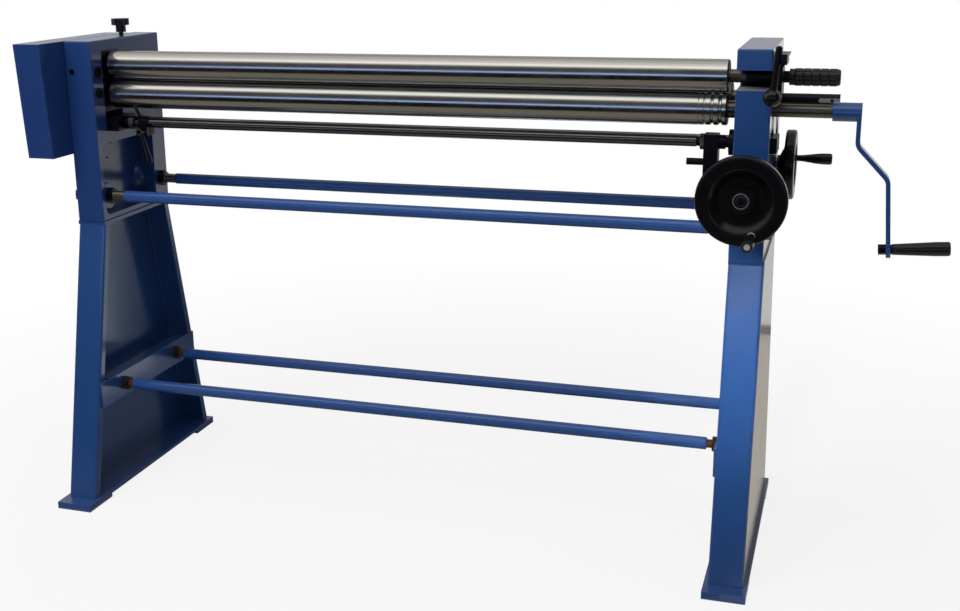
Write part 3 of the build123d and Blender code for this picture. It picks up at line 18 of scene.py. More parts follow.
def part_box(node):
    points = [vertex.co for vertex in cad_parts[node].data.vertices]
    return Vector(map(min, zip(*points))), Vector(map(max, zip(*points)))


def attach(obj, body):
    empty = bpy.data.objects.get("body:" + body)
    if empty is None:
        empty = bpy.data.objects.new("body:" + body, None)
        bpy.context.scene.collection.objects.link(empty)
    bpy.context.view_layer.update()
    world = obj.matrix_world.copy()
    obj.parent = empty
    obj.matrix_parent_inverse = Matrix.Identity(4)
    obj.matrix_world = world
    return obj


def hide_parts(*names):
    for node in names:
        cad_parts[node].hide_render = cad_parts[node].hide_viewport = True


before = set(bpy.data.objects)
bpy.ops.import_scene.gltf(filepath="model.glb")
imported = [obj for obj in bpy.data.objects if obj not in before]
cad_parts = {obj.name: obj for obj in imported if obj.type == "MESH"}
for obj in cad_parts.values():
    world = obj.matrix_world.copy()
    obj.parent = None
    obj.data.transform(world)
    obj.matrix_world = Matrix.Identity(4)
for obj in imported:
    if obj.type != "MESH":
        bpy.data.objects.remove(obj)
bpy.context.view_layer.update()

Tree = bpy.types.NodeTree
Socket = bpy.types.NodeSocket
Point = tuple[float, float, float]
Pair = tuple[float, float]

MM = 0.001
WELD = 0.001 * MM
# Most values of a noise lie in this span
SPAN = {"From Min": 0.3, "From Max": 0.7}
log = logging.getLogger("plate_rolling_machine")


class Slot(Enum):
    """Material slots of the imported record."""

    PAINT = "blue_paint"
    GROUND = "ground_steel"
    BLACK = "black_steel"
    GREY = "grey_steel"
    PLASTIC = "black_plastic"
    RUBBER = "black_rubber"
    BRONZE = "bronze"


class Axis(Enum):
    """The machine's axes: along the rolls, from the operator to the back, upwards."""

    X = 0
    Y = 1
    Z = 2

    @property
    def others(self) -> list[int]:
        """Returns the numbers of the two axes across this one."""
        return [i for i in range(3) if i != self.value]


class Recess(Enum):
    """Shapes of the drive in a screw head."""

    SLOT = "slot"
    HEXAGON = "hexagon"


def linear(colour: str) -> tuple[float, float, float, float]:
    """Turns an sRGB hex colour into linear light.

    linear = value / 12.92 near black, and ((value + 0.055) / 1.055) to the power of 2.4 above that.

    Args:
        colour: the colour as "#rrggbb".

    Returns:
        Linear red, green, blue and an alpha of 1.
    """
    srgb = np.array([int(colour[i:i + 2], 16) for i in (1, 3, 5)]) / 255
    rgb = np.where(srgb <= 0.04045, srgb / 12.92, ((srgb + 0.055) / 1.055) ** 2.4)
    return (*rgb.tolist(), 1.0)


def add_node(tree: Tree, kind: str, inputs: dict[Any, Any] | None = None,
             **settings: Any) -> bpy.types.Node:
    """Adds a node, sets its settings and fills or links its inputs.

    A Mix node takes its share at 0, values at 2 and 3, vectors at 4 and 5, colours at 6 and 7, and gives a
    value, a vector or a colour at 0, 1 or 2.

    Args:
        tree: the node tree that takes the node.
        kind: the node's type name after ShaderNode.
        inputs: values or output sockets by input name or number.
        settings: properties of the node.

    Returns:
        The new node.
    """
    node = tree.nodes.new(f"ShaderNode{kind}")
    for name, value in settings.items():
        setattr(node, name, value)
    for key, value in (inputs or {}).items():
        if isinstance(value, Socket):
            tree.links.new(value, node.inputs[key])
        else:
            node.inputs[key].default_value = value
    return node


def empty_tree(owner: bpy.types.Material | bpy.types.World) -> Tree:
    """Gives a material or world a node tree and empties it.

    Args:
        owner: the material or world.

    Returns:
        Its node tree.
    """
    owner.use_nodes = True
    owner.node_tree.nodes.clear()
    return owner.node_tree


def add_object(name: str, data: bpy.types.ID) -> bpy.types.Object:
    """Adds an object to the scene.

    Args:
        name: the object's name.
        data: its mesh, lamp or camera.

    Returns:
        The object.
    """
    made = bpy.data.objects.new(name, data)
    bpy.context.scene.collection.objects.link(made)
    return made


@dataclass(frozen=True)
class Look:
    """What a finish feeds to the shader: sockets, or plain values where the surface is even."""

    colour: Any
    roughness: Any
    metallic: Any
    normal: Socket


@dataclass(frozen=True, kw_only=True)
class Finish:
    """A surface finish: its name, the record's slot and what draws it."""

    name: str
    slot: Slot
    coat: float = 0.0
    coat_roughness: float = 0.08
    specular: float = 0.5

    def draw(self, tree: Tree, place: Socket) -> Look:
        """Adds the finish's nodes; every kind of finish has its own.

        Args:
            tree: the material's node tree.
            place: Object coordinates.

        Returns:
            What the nodes feed to the shader.
        """
        raise NotImplementedError

    def material(self) -> bpy.types.Material:
        """Makes the finish's material at its first use.

        Returns:
            The material.
        """
        known = bpy.data.materials.get(self.name)
        if known:
            return known
        made = bpy.data.materials.new(self.name)
        tree = empty_tree(made)
        place = add_node(tree, "TexCoord").outputs["Object"]
        look = self.draw(tree, place)
        inputs = {"Base Color": look.colour, "Metallic": look.metallic, "Roughness": look.roughness,
                  "Specular IOR Level": self.specular, "Coat Weight": self.coat,
                  "Coat Roughness": self.coat_roughness, "Normal": look.normal}
        shader = add_node(tree, "BsdfPrincipled", inputs)
        add_node(tree, "OutputMaterial", {"Surface": shader.outputs["BSDF"]})
        return made


@dataclass(frozen=True, kw_only=True)
class Enamel(Finish):
    """Sprayed machine enamel on filled castings and sheet.

    To the eye it is an even, saturated blue with a soft gloss: broad clouds in its tone, a fine orange peel,
    a film of dust on faces that look up, and a thin lighter line along the edges, which is a painted
    highlight.
    """

    slot: Slot = Slot.PAINT
    coat: float = 0.3
    coat_roughness: float = 0.1
    light: str = "#1F4279"
    shade: str = "#1D3E72"
    cloud: float = 160 * MM
    cloud_detail: float = 4.0
    gloss: float = 0.22
    gloss_spread: float = 0.01
    dust: str = "#7C828C"
    dust_share: float = 0.05
    dust_from: float = 0.75
    # edge: colour of the painted highlight along the edges, where rounded edges would catch the light
    edge: str = "#456AA6"
    edge_highlight_share: float = 0.6
    edge_radius: float = 1.0 * MM
    edge_turn: Pair = (0.985, 0.8)
    edge_samples: int = 4
    peel: float = 1.6 * MM
    peel_detail: float = 1.0
    peel_height: float = 0.2 * MM
    peel_strength: float = 0.06

    def draw(self, tree: Tree, place: Socket) -> Look:
        """Adds clouds, dust, a painted highlight along the edges, and orange peel.

        Args:
            tree: the material's node tree.
            place: Object coordinates.

        Returns:
            What the nodes feed to the shader.
        """
        clouds = add_node(tree, "TexNoise", {
            "Vector": place, "Scale": 1 / self.cloud, "Detail": self.cloud_detail}).outputs[0]
        tone = add_node(tree, "Mix", {
            0: clouds, 6: linear(self.shade), 7: linear(self.light)}, data_type="RGBA")
        facing = add_node(tree, "TexCoord").outputs["Normal"]
        upward = add_node(tree, "SeparateXYZ", {"Vector": facing}).outputs["Z"]
        film = add_node(tree, "MapRange", {
            "Value": upward, "From Min": self.dust_from, "From Max": 1.0, "To Max": self.dust_share})
        dusty = add_node(tree, "Mix", {
            0: film.outputs[0], 6: tone.outputs[2], 7: linear(self.dust)}, data_type="RGBA")
        rounded = add_node(tree, "Bevel", {"Radius": self.edge_radius}, samples=self.edge_samples).outputs[0]
        flat = add_node(tree, "NewGeometry").outputs["Normal"]
        turn = add_node(tree, "VectorMath", {0: rounded, 1: flat}, operation="DOT_PRODUCT")
        # The lighter edge colour is mixed in where the rounded normal turns from the flat one: a painted
        # highlight
        rim = add_node(tree, "MapRange", {
            "Value": turn.outputs["Value"], "From Min": self.edge_turn[0], "From Max": self.edge_turn[1],
            "To Max": self.edge_highlight_share})
        highlit_edges = add_node(tree, "Mix", {
            0: rim.outputs[0], 6: dusty.outputs[2], 7: linear(self.edge)}, data_type="RGBA")
        rough = add_node(tree, "MapRange", {
            "Value": clouds, **SPAN, "To Min": self.gloss - self.gloss_spread,
            "To Max": self.gloss + self.gloss_spread})
        skin = add_node(tree, "TexNoise", {
            "Vector": place, "Scale": 1 / self.peel, "Detail": self.peel_detail})
        bump = add_node(tree, "Bump", {
            "Strength": self.peel_strength, "Distance": self.peel_height, "Height": skin.outputs[0],
            "Normal": rounded})
        return Look(highlit_edges.outputs[2], rough.outputs[0], 0.0, bump.outputs[0])


@dataclass(frozen=True, kw_only=True)
class LinedSteel(Finish):
    """Ground or turned steel: bright, with fine lines round the axis it was worked on.

    The lines are closer than the render can show, so they are drawn a few tenths of a millimetre apart,
    and the eye reads them as a soft streak across the reflections.
    """

    axis: Axis = Axis.X
    light: str = "#CFCDC8"
    shade: str = "#C0BEB9"
    gloss: float = 0.18
    cleaner: float = 0.03
    smeared: float = 0.05
    smudge: float = 60 * MM
    smudge_detail: float = 4.0
    line: float = 0.5 * MM
    line_detail: float = 3.0
    line_height: float = 0.1 * MM
    depth: float = 0.012

    def draw(self, tree: Tree, place: Socket) -> Look:
        """Adds rings of lines along the axis and broad smudges.

        Args:
            tree: the material's node tree.
            place: Object coordinates.

        Returns:
            What the nodes feed to the shader.
        """
        along = add_node(tree, "SeparateXYZ", {"Vector": place}).outputs[self.axis.value]
        rings = add_node(tree, "TexNoise", {
            "W": along, "Scale": 1 / self.line, "Detail": self.line_detail},
            noise_dimensions="1D").outputs[0]
        smudges = add_node(tree, "TexNoise", {
            "Vector": place, "Scale": 1 / self.smudge, "Detail": self.smudge_detail}).outputs[0]
        tone = add_node(tree, "Mix", {
            0: rings, 6: linear(self.shade), 7: linear(self.light)}, data_type="RGBA")
        rough = add_node(tree, "MapRange", {
            "Value": smudges, **SPAN, "To Min": self.gloss - self.cleaner,
            "To Max": self.gloss + self.smeared})
        bump = add_node(tree, "Bump", {
            "Strength": self.depth, "Distance": self.line_height, "Height": rings})
        return Look(tone.outputs[2], rough.outputs[0], 1.0, bump.outputs[0])


@dataclass(frozen=True, kw_only=True)
class Grained(Finish):
    """A skin in two tones, duller in its lighter patches, with a fine tooth raised on it."""

    light: str
    shade: str
    bright: float
    dull: float
    metal: float
    patch: float
    patch_detail: float
    tooth: float
    tooth_detail: float = 2.0
    tooth_height: float = 0.2 * MM
    depth: float

    def draw(self, tree: Tree, place: Socket) -> Look:
        """Adds the patches of tone and gloss, and the tooth.

        Args:
            tree: the material's node tree.
            place: Object coordinates.

        Returns:
            What the nodes feed to the shader.
        """
        patches = add_node(tree, "TexNoise", {
            "Vector": place, "Scale": 1 / self.patch, "Detail": self.patch_detail}).outputs[0]
        tone = add_node(tree, "Mix", {
            0: patches, 6: linear(self.shade), 7: linear(self.light)}, data_type="RGBA")
        rough = add_node(tree, "MapRange", {
            "Value": patches, **SPAN, "To Min": self.bright, "To Max": self.dull})
        tooth = add_node(tree, "TexNoise", {
            "Vector": place, "Scale": 1 / self.tooth, "Detail": self.tooth_detail})
        bump = add_node(tree, "Bump", {
            "Strength": self.depth, "Distance": self.tooth_height, "Height": tooth.outputs[0]})
        return Look(tone.outputs[2], rough.outputs[0], self.metal, bump.outputs[0])


@dataclass(frozen=True, kw_only=True)
class MottledMetal(Grained):
    """Blackened, bare or rusty steel: a mottled skin with a fine tooth, duller where the skin is thick."""

    slot: Slot = Slot.GREY
    bright: float = 0.3
    dull: float = 0.42
    metal: float = 0.9
    patch: float = 4 * MM
    patch_detail: float = 5.0
    tooth: float = 0.6 * MM
    depth: float = 0.05


@dataclass(frozen=True, kw_only=True)
class Moulding(Grained):
    """Moulded phenolic or rubber: near black, with a film of handling and the faint grain of the mould."""

    slot: Slot = Slot.PLASTIC
    bright: float = 0.2
    dull: float = 0.24
    metal: float = 0.0
    patch: float = 25 * MM
    patch_detail: float = 4.0
    tooth: float = 0.8 * MM
    depth: float = 0.04


@dataclass(frozen=True, kw_only=True)
class Split(Finish):
    """Two finishes on one solid, parted at a distance from a centre along the rolls."""

    near: Finish
    far: Finish
    centre: float
    limit: float

    def draw(self, tree: Tree, place: Socket) -> Look:
        """Draws the near finish up to the limit and the far one beyond it.

        Args:
            tree: the material's node tree.
            place: Object coordinates.

        Returns:
            What the nodes feed to the shader.
        """
        along = add_node(tree, "SeparateXYZ", {"Vector": place}).outputs["X"]
        off = add_node(tree, "Math", {0: along, 1: self.centre}, operation="SUBTRACT")
        away = add_node(tree, "Math", {0: off.outputs[0]}, operation="ABSOLUTE")
        step = add_node(tree, "Math", {
            0: away.outputs[0], 1: self.limit}, operation="GREATER_THAN").outputs[0]
        near = self.near.draw(tree, place)
        far = self.far.draw(tree, place)
        colour = add_node(tree, "Mix", {0: step, 6: near.colour, 7: far.colour}, data_type="RGBA")
        rough = add_node(tree, "Mix", {0: step, 2: near.roughness, 3: far.roughness}, data_type="FLOAT")
        metal = near.metallic
        if far.metallic != metal:
            metal = add_node(tree, "Mix", {0: step, 2: metal, 3: far.metallic}, data_type="FLOAT").outputs[0]
        normal = add_node(tree, "Mix", {0: step, 4: near.normal, 5: far.normal}, data_type="VECTOR")
        return Look(colour.outputs[2], rough.outputs[0], metal, normal.outputs[1])


# Deep, even blue of the sheet and the right casting
BLUE = Enamel(name="blue_machine_enamel")
# A darker, a little more violet copy of the same enamel: painted shade on the left casting and the gear cover
SHADED_BLUE = Enamel(name="shaded_blue_enamel", light="#1F3B73", shade="#1D376B")
# A lighter copy of the enamel, painted light on the rods, and glossier so that a highlight runs along them
LIT_ROD_BLUE = Enamel(name="lit_blue_rod_enamel", light="#264A86", shade="#22437A", gloss=0.2)
# Bright rolls that mirror the room in long bands
GROUND = LinedSteel(name="ground_roll_steel", slot=Slot.GROUND)
# Greyer shafts with a narrow highlight
SHAFT = LinedSteel(name="turned_shaft_steel", slot=Slot.GREY, light="#7E7E7B", shade="#6A6A67", gloss=0.21)
# Pale ends and gears with faint circles
SPINDLE = LinedSteel(name="turned_spindle_steel", slot=Slot.GREY, axis=Axis.Y, light="#989894",
                     shade="#84847F", gloss=0.31)
# Darker brown-grey steel on the journals and the rear roll; where it reaches over the chamfers and end faces
# of the upper and lower rolls it is painted shade
JOURNAL = LinedSteel(name="dark_journal_steel", slot=Slot.GROUND, light="#7D776C", shade="#5F5A51",
                     gloss=0.36)
# Warm yellow bush
BRONZE = LinedSteel(name="turned_bearing_bronze", slot=Slot.BRONZE, light="#C09A5B", shade="#A98347",
                    gloss=0.31)
# Bare studs and nuts, a warm grey with a shine
STUD = MottledMetal(name="bright_stud_steel", light="#A39C8E", shade="#7E776A", bright=0.29,
                    dull=0.4, metal=1.0)
# Pale, satin plating of small screws
ZINC = MottledMetal(name="zinc_plated_steel", light="#BFBCB4", shade="#9E9B93", bright=0.34,
                    dull=0.46, metal=0.5)
# Rings that have lost their shine
DULL = MottledMetal(name="dulled_ring_steel", light="#6C6A66", shade="#514F4C", bright=0.36,
                    dull=0.48, metal=0.5)
# Cut plate, dark grey in broad patches
PLATE = MottledMetal(name="bare_plate_steel", light="#66666A", shade="#4B4B4F", patch=18 * MM,
                     bright=0.42, dull=0.55, metal=1.0)
# Near black with a faint sheen
BLACK = MottledMetal(name="blackened_steel", slot=Slot.BLACK, light="#2B2B2E", shade="#17171A")
# Reddish brown without a shine
RUST = MottledMetal(name="rust_brown_steel", slot=Slot.BLACK, light="#6E3E2A", shade="#38231A", bright=0.5,
                    dull=0.72, metal=0.3, depth=0.15)
# Between black and brown, on the lower nuts
BROWNED = MottledMetal(name="browned_nut_steel", slot=Slot.BLACK, light="#3A2A22", shade="#15110F",
                       bright=0.46, dull=0.66, metal=0.4, patch=5 * MM, depth=0.12)
# Deep black with a soft highlight
PHENOLIC = Moulding(name="moulded_phenolic", light="#0C0C0D", shade="#070708", specular=0.3)
# A lighter grey copy of the moulding: painted light on the crank handle, where light falls from above
LIT_PHENOLIC = Moulding(name="lit_phenolic", light="#1A1A1B", shade="#141415", specular=0.3)
# Polished black ball with a sharp highlight
BALL = Moulding(name="polished_phenolic", light="#0A0A0B", shade="#060607", bright=0.22,
                dull=0.25, depth=0.01, specular=0.4)
# Matt black grip
RUBBER = Moulding(name="moulded_rubber", slot=Slot.RUBBER, light="#141415", shade="#0D0D0E", bright=0.36,
                  dull=0.44, depth=0.1)


@dataclass
class Patch:
    """A grid of surface points, rows by columns, whose columns meet in a seam.

    Where it is looped, its last row meets its first as well, so that it is a ring.
    """

    points: np.ndarray
    looped: bool = False

    def faces(self, offset: int) -> np.ndarray:
        """Works out the grid's quads, each between two rows and two columns.

        Args:
            offset: number of the grid's first vertex.

        Returns:
            The quads as vertex numbers.
        """
        rows, columns = self.points.shape[:2]
        ids = np.arange(rows * columns).reshape(rows, columns) + offset
        if self.looped:
            ids = np.vstack((ids, ids[:1]))
        beside = np.roll(ids, -1, axis=1)
        return np.stack((ids[:-1], beside[:-1], beside[1:], ids[1:]), axis=-1).reshape(-1, 4)


def turned(along: np.ndarray, radius: np.ndarray, start: Vector, axis: Axis, columns: int, sign: float = 1.0,
           looped: bool = False) -> Patch:
    """Turns a profile round an axis of the machine.

    point(s, t) = start + along(s) times the axis + radius(s, t) times (cos t, sin t) across it.

    Args:
        along: distance of each row along the axis.
        radius: radius of each row, or of each row and column.
        start: where the axis starts.
        axis: the axis it turns round.
        columns: points round the axis.
        sign: -1 where the piece points against the axis.
        looped: whether the last row meets the first.

    Returns:
        The surface's grid.
    """
    angle = np.linspace(0, 2 * np.pi, columns, endpoint=False)
    radius = np.broadcast_to(radius if radius.ndim == 2 else radius[:, None], (along.size, columns))
    points = np.zeros((along.size, columns, 3))
    first, second = axis.others
    points[..., axis.value] = sign * along[:, None]
    points[..., first] = radius * np.cos(angle)
    points[..., second] = radius * np.sin(angle)
    return Patch(points + np.array(start), looped)


def ring(start: Vector, axis: Axis, sign: float, length: float, inner: float, outer: float,
         tip: float | None = None, chamfer: float = 0.3 * MM, columns: int = 64) -> Patch:
    """Works out a collar or washer: a closed ring with straight walls, whose outside runs from outer to tip.

    Args:
        start: where the ring starts on its axis.
        axis: the ring's axis.
        sign: -1 where it points against the axis.
        length: its length.
        inner: radius of its hole.
        outer: outside radius at the start.
        tip: outside radius at the end, where it is another.
        chamfer: size of the chamfer at the end.
        columns: points round the axis.

    Returns:
        The ring's grid.
    """
    along = np.array([0.0, length - chamfer, length, length, 0.0])
    end = outer if tip is None else tip
    radius = np.array([outer, end, end - chamfer, inner, inner])
    return turned(along, radius, start, axis, columns, sign, looped=True)


def prism(outline: np.ndarray, axis: Axis, low: float, high: float) -> Patch:
    """Works out a straight prism: the outline at both ends, each closed to its middle.

    Args:
        outline: points of the outline, with the axis's own coordinate left free.
        axis: the direction it is drawn out along.
        low: where it starts on the axis.
        high: where it ends.

    Returns:
        The prism's grid.
    """
    centre = np.broadcast_to(outline.mean(axis=0), outline.shape)
    points = np.stack((centre, outline, outline, centre))
    points[:2, :, axis.value] = low
    points[2:, :, axis.value] = high
    return Patch(points)


def thread(start: Vector, axis: Axis, length: float, root: float, crest: float, pitch: float,
           columns: int = 32, steps: int = 8, wall: float = 1.0 * MM) -> Patch:
    """Works out a screw thread as a closed ring round a stud.

    radius(s, t) = root + (crest - root) times a triangle wave of (s / pitch - t / 2 pi), which fades over the
    first and last half pitch; the ring closes through an inner wall inside the stud.

    Args:
        start: where the thread starts on the stud's axis.
        axis: the stud's axis.
        length: length of the thread.
        root: radius at the bottom of the thread.
        crest: radius at its top.
        pitch: distance between turns.
        columns: points round the stud.
        steps: rows in each turn.
        wall: how far the inner wall lies below the root.

    Returns:
        The thread's grid.
    """
    along = np.linspace(0, length, int(length / pitch * steps))
    turn = np.linspace(0, 1, columns, endpoint=False)
    wave = np.abs(2 * np.mod(along[:, None] / pitch - turn, 1) - 1)
    fade = np.clip(np.minimum(along, length - along) / (pitch / 2), 0, 1)[:, None]
    outer = root + (crest - root) * wave * fade
    inner = np.full((2, columns), root - wall)
    path = np.concatenate((along, [length, 0.0]))
    return turned(path, np.vstack((outer, inner)), start, axis, columns, looped=True)


@dataclass(frozen=True)
class ScrewHead:
    """A screw head with its drive sunk into it.

    The rim, its drop and the slope of the drive's walls are shares of the radius, the height and the radius.
    """

    radius: float
    height: float
    across: float
    depth: float
    recess: Recess = Recess.HEXAGON
    rim: float = 1 / 6
    drop: float = 0.35
    slope: float = 0.04
    rows: int = 40
    columns: int = 96

    def patch(self, centre: Vector, axis: Axis, sign: float) -> Patch:
        """Works out the head.

        height(r, t) falls on a quarter circle over the rim, and drops by the depth where the distance from
        the slot's line, or from the hexagon's flats, is under half the width across.

        Args:
            centre: middle of the face that the head sits on.
            axis: the screw's axis.
            sign: -1 where the head looks against the axis.

        Returns:
            The head's grid, closed below.
        """
        angle = np.linspace(0, 2 * np.pi, self.columns, endpoint=False)
        reach = np.linspace(0, self.radius, self.rows)
        if self.recess is Recess.SLOT:
            from_line = np.abs(reach[:, None] * np.sin(angle))
        else:
            from_line = reach[:, None] * np.cos(np.mod(angle, np.pi / 3) - np.pi / 6)
        sunk = np.clip((self.across / 2 - from_line) / (self.slope * self.radius) + 0.5, 0, 1)
        edge = np.clip((reach - self.radius * (1 - self.rim)) / (self.radius * self.rim), 0, 1)
        top = self.height * (1 - self.drop * (1 - np.sqrt(1 - edge**2)))[:, None] - self.depth * sunk
        radii = np.concatenate((reach, [self.radius, 0.0]))[:, None]
        points = np.zeros((self.rows + 2, self.columns, 3))
        first, second = axis.others
        points[..., first] = radii * np.cos(angle)
        points[..., second] = radii * np.sin(angle)
        points[:self.rows, :, axis.value] = sign * top
        return Patch(points + np.array(centre))


def make_piece(name: str, patches: list[Patch], finish: Finish, body: str,
               crease: float = 32.0) -> bpy.types.Object:
    """Makes one piece from grids, welds its seams and poles, and lets it ride on a body.

    Args:
        name: the piece's name.
        patches: its surfaces.
        finish: its finish.
        body: the body that carries it.
        crease: edges sharper than this many degrees stay hard.

    Returns:
        The piece.
    """
    points = [patch.points.reshape(-1, 3) for patch in patches]
    offsets = np.cumsum([0] + [len(block) for block in points])
    faces = np.vstack([patch.faces(offset) for patch, offset in zip(patches, offsets)])
    mesh = bpy.data.meshes.new(name)
    mesh.from_pydata(np.vstack(points).tolist(), [], faces.tolist())
    work = bmesh.new()
    work.from_mesh(mesh)
    bmesh.ops.remove_doubles(work, verts=work.verts, dist=WELD)
    bmesh.ops.recalc_face_normals(work, faces=work.faces)
    work.to_mesh(mesh)
    work.free()
    mesh.shade_smooth()
    mesh.set_sharp_from_angle(angle=np.radians(crease))
    mesh.materials.append(finish.material())
    piece = add_object(name, mesh)
    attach(piece, body)
    log.info("%s: %d faces on %s", name, len(mesh.polygons), body)
    return piece


def sheet(name: str, corner: Point, across: Point, up: Point) -> bpy.types.Mesh:
    """Works out a flat sheet; point(u, v) = corner + u times across + v times up.

    Args:
        name: the mesh's name.
        corner: the corner that it starts from.
        across: its edge along u.
        up: its edge along v.

    Returns:
        The mesh.
    """
    steps = np.linspace(0, 1, 2)
    rows = np.array(corner) + steps[:, None, None] * np.array(up)
    grid = rows + steps[None, :, None] * np.array(across)
    mesh = bpy.data.meshes.new(name)
    mesh.from_pydata(grid.reshape(-1, 3).tolist(), [], [(0, 1, 3, 2)])
    return mesh


def dress(finish: Finish, *nodes: str) -> None:
    """Gives CAD nodes a finish.

    Args:
        finish: the finish.
        nodes: names of the nodes.
    """
    for name in nodes:
        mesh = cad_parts[name].data
        mesh.materials.clear()
        mesh.materials.append(finish.material())
        log.info("%s: %s", name, finish.name)


def middle(node: str) -> Vector:
    """Returns the middle of a node's box."""
    low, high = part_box(node)
    return (low + high) / 2


@dataclass
class Stands:
    """The folded stands with their tops, braces, base plates and pads."""

    finish: Finish = BLUE

    def build(self) -> None:
        """Dresses the sheet and the welded plates."""
        dress(self.finish, "stand_left", "stand_right", "stand_tops", "stand_brace_left", "stand_brace_right",
              "base_plates", "foot_pads")


@dataclass
class Housings:
    """The cast housings, the gear cover, the bearings in them and their screws."""

    left_finish: Finish = SHADED_BLUE
    right_finish: Finish = BLUE
    set_screw: ScrewHead = ScrewHead(radius=6.0 * MM, height=1.2 * MM, across=5 * MM, depth=1.0 * MM)
    set_screw_up: float = 318 * MM
    set_screw_in: float = 15.5 * MM
    slot_floor: float = 309 * MM
    slot_worn: float = 58 * MM
    slot_edge: float = 0.4 * MM
    boss_in: float = 29.5 * MM
    boss_up: float = 53 * MM
    boss_radius: float = 28 * MM
    web: float = 44 * MM
    flare: float = 17 * MM
    flare_length: float = 20 * MM
    flare_rows: int = 14
    flare_columns: int = 72
    rim: float = 5 * MM
    sunk: float = 1.0 * MM

    def build(self) -> None:
        """Dresses the castings and bearings and adds the set screw, the slot floor bared by wear and the
        bosses' roots.
        """
        # The left casting and the gear cover take the darker copy of the enamel as painted shade
        dress(self.left_finish, "housing_left", "gear_cover")
        dress(self.right_finish, "housing_right")
        dress(BLACK, "upper_block_base", "upper_block_cap", "bearing_screws", "lower_block_left",
              "lower_block_right", "rear_block_left", "rear_block_right", "end_cap")
        dress(PLATE, "keeper_plates")
        dress(BRONZE, "swivel_bush")
        low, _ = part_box("housing_left")
        seat = Vector((low.x + self.set_screw_in, low.y, low.z + self.set_screw_up))
        make_piece("housing_set_screw", [self.set_screw.patch(seat, Axis.Y, -1.0)], BLACK, "frame")
        self.worn_slot()
        self.boss_roots()

    def worn_slot(self) -> None:
        """Bares the steel of the right slot's floor, where the sleeve has rubbed the enamel off."""
        low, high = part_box("housing_right")
        left, right = low.x + self.slot_edge, high.x - self.slot_edge
        front, back = low.y + self.slot_edge, low.y + self.slot_worn
        floor = low.z + self.slot_floor
        outline = np.array([(left, front, 0.0), (right, front, 0.0), (right, back, 0.0), (left, back, 0.0)])
        make_piece("worn_slot_floor", [prism(outline, Axis.Z, floor - self.sunk, floor)], ZINC, "frame")

    def boss_roots(self) -> None:
        """Adds the cast fillets where the tie rods' bosses meet the floors of the pockets.

        radius(s) = boss + flare times (1 - s / length) squared, cut off inside the rims in front and behind.
        """
        along = np.linspace(0, self.flare_length, self.flare_rows)
        radius = self.boss_radius + self.flare * (1 - along / self.flare_length) ** 2
        path = np.concatenate(([-self.sunk, -self.sunk], along, [self.flare_length, self.flare_length]))
        full = np.concatenate(([0.0, radius[0]], radius, [self.boss_radius - self.sunk, 0.0]))
        for name, sign, finish in (("left", 1.0, self.left_finish), ("right", -1.0, self.right_finish)):
            low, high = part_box(f"housing_{name}")
            floor = high.x - self.web if sign > 0 else low.x + self.web
            roots = []
            for y in (low.y + self.boss_in, high.y - self.boss_in):
                start = Vector((floor, y, low.z + self.boss_up))
                root = turned(path, full, start, Axis.X, self.flare_columns, sign)
                root.points[..., 1] = np.clip(root.points[..., 1], low.y + self.rim, high.y - self.rim)
                root.points[..., 2] = np.maximum(root.points[..., 2], low.z + self.rim)
                roots.append(root)
            make_piece(f"boss_roots_{name}", roots, finish, "frame")


@dataclass
class Rolls:
    """The three rolls, their gears and screws, and the key in the rear roll's end."""

    left_gap: float = 6 * MM
    right_gap: float = 19 * MM
    chamfer: float = 1.6 * MM
    stub_radius: float = 11 * MM
    key_length: float = 38 * MM
    key_width: float = 7.8 * MM
    key_thickness: float = 3.4 * MM
    key_out: float = 0.7 * MM
    key_steps: int = 17
    key_screw: ScrewHead = ScrewHead(radius=3.0 * MM, height=0.3 * MM, across=2.5 * MM, depth=0.25 * MM)
    key_screw_in: float = 14 * MM

    def build(self) -> None:
        """Dresses the rolls: ground bodies, darker journals with painted shade on the chamfers and end faces,
        and the rear roll's black end with its key.
        """
        inner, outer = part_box("housing_right")
        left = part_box("housing_left")[1].x + self.left_gap
        right = inner.x - self.right_gap
        # The darker steel starts a chamfer's width inside the body's ends, so the chamfers and end faces take
        # it as painted shade
        body = Split(name="roll_steel_and_journals", slot=Slot.GROUND, near=GROUND, far=JOURNAL,
                     centre=(left + right) / 2, limit=(right - left) / 2 - self.chamfer)
        dress(body, "upper_roll", "lower_roll")
        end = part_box("rear_roll")[0].x
        keyed = Split(name="rear_roll_steel", slot=Slot.GROUND, near=JOURNAL, far=BLACK, centre=end,
                      limit=outer.x - end)
        dress(keyed, "rear_roll")
        dress(SPINDLE, "upper_gear", "lower_gear")
        dress(BLACK, "lift_screw_left", "lift_screw_right", "rear_screw_left", "rear_screw_right")
        self.key()

    def key(self) -> None:
        """Adds the key of the rear roll's end, round at its inner end, and the set screw in it.

        The outline is a half circle of the key's width at the inner end and two corners at the stub's end.
        """
        _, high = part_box("rear_roll")
        axis = middle("rear_roll")
        half = self.key_width / 2
        turn = np.linspace(np.pi / 2, 3 * np.pi / 2, self.key_steps)
        inner = high.x - self.key_length + half
        x = np.concatenate((inner + half * np.cos(turn), [high.x, high.x]))
        z = axis.z + np.concatenate((half * np.sin(turn), [-half, half]))
        front = axis.y - self.stub_radius - self.key_out
        patch = prism(np.column_stack((x, np.zeros_like(x), z)), Axis.Y, front, front + self.key_thickness)
        make_piece("rear_roll_key", [patch], ZINC, "rear_roll")
        seat = Vector((high.x - self.key_screw_in, front, axis.z))
        make_piece("rear_key_screw", [self.key_screw.patch(seat, Axis.Y, -1.0)], BLACK, "rear_roll")


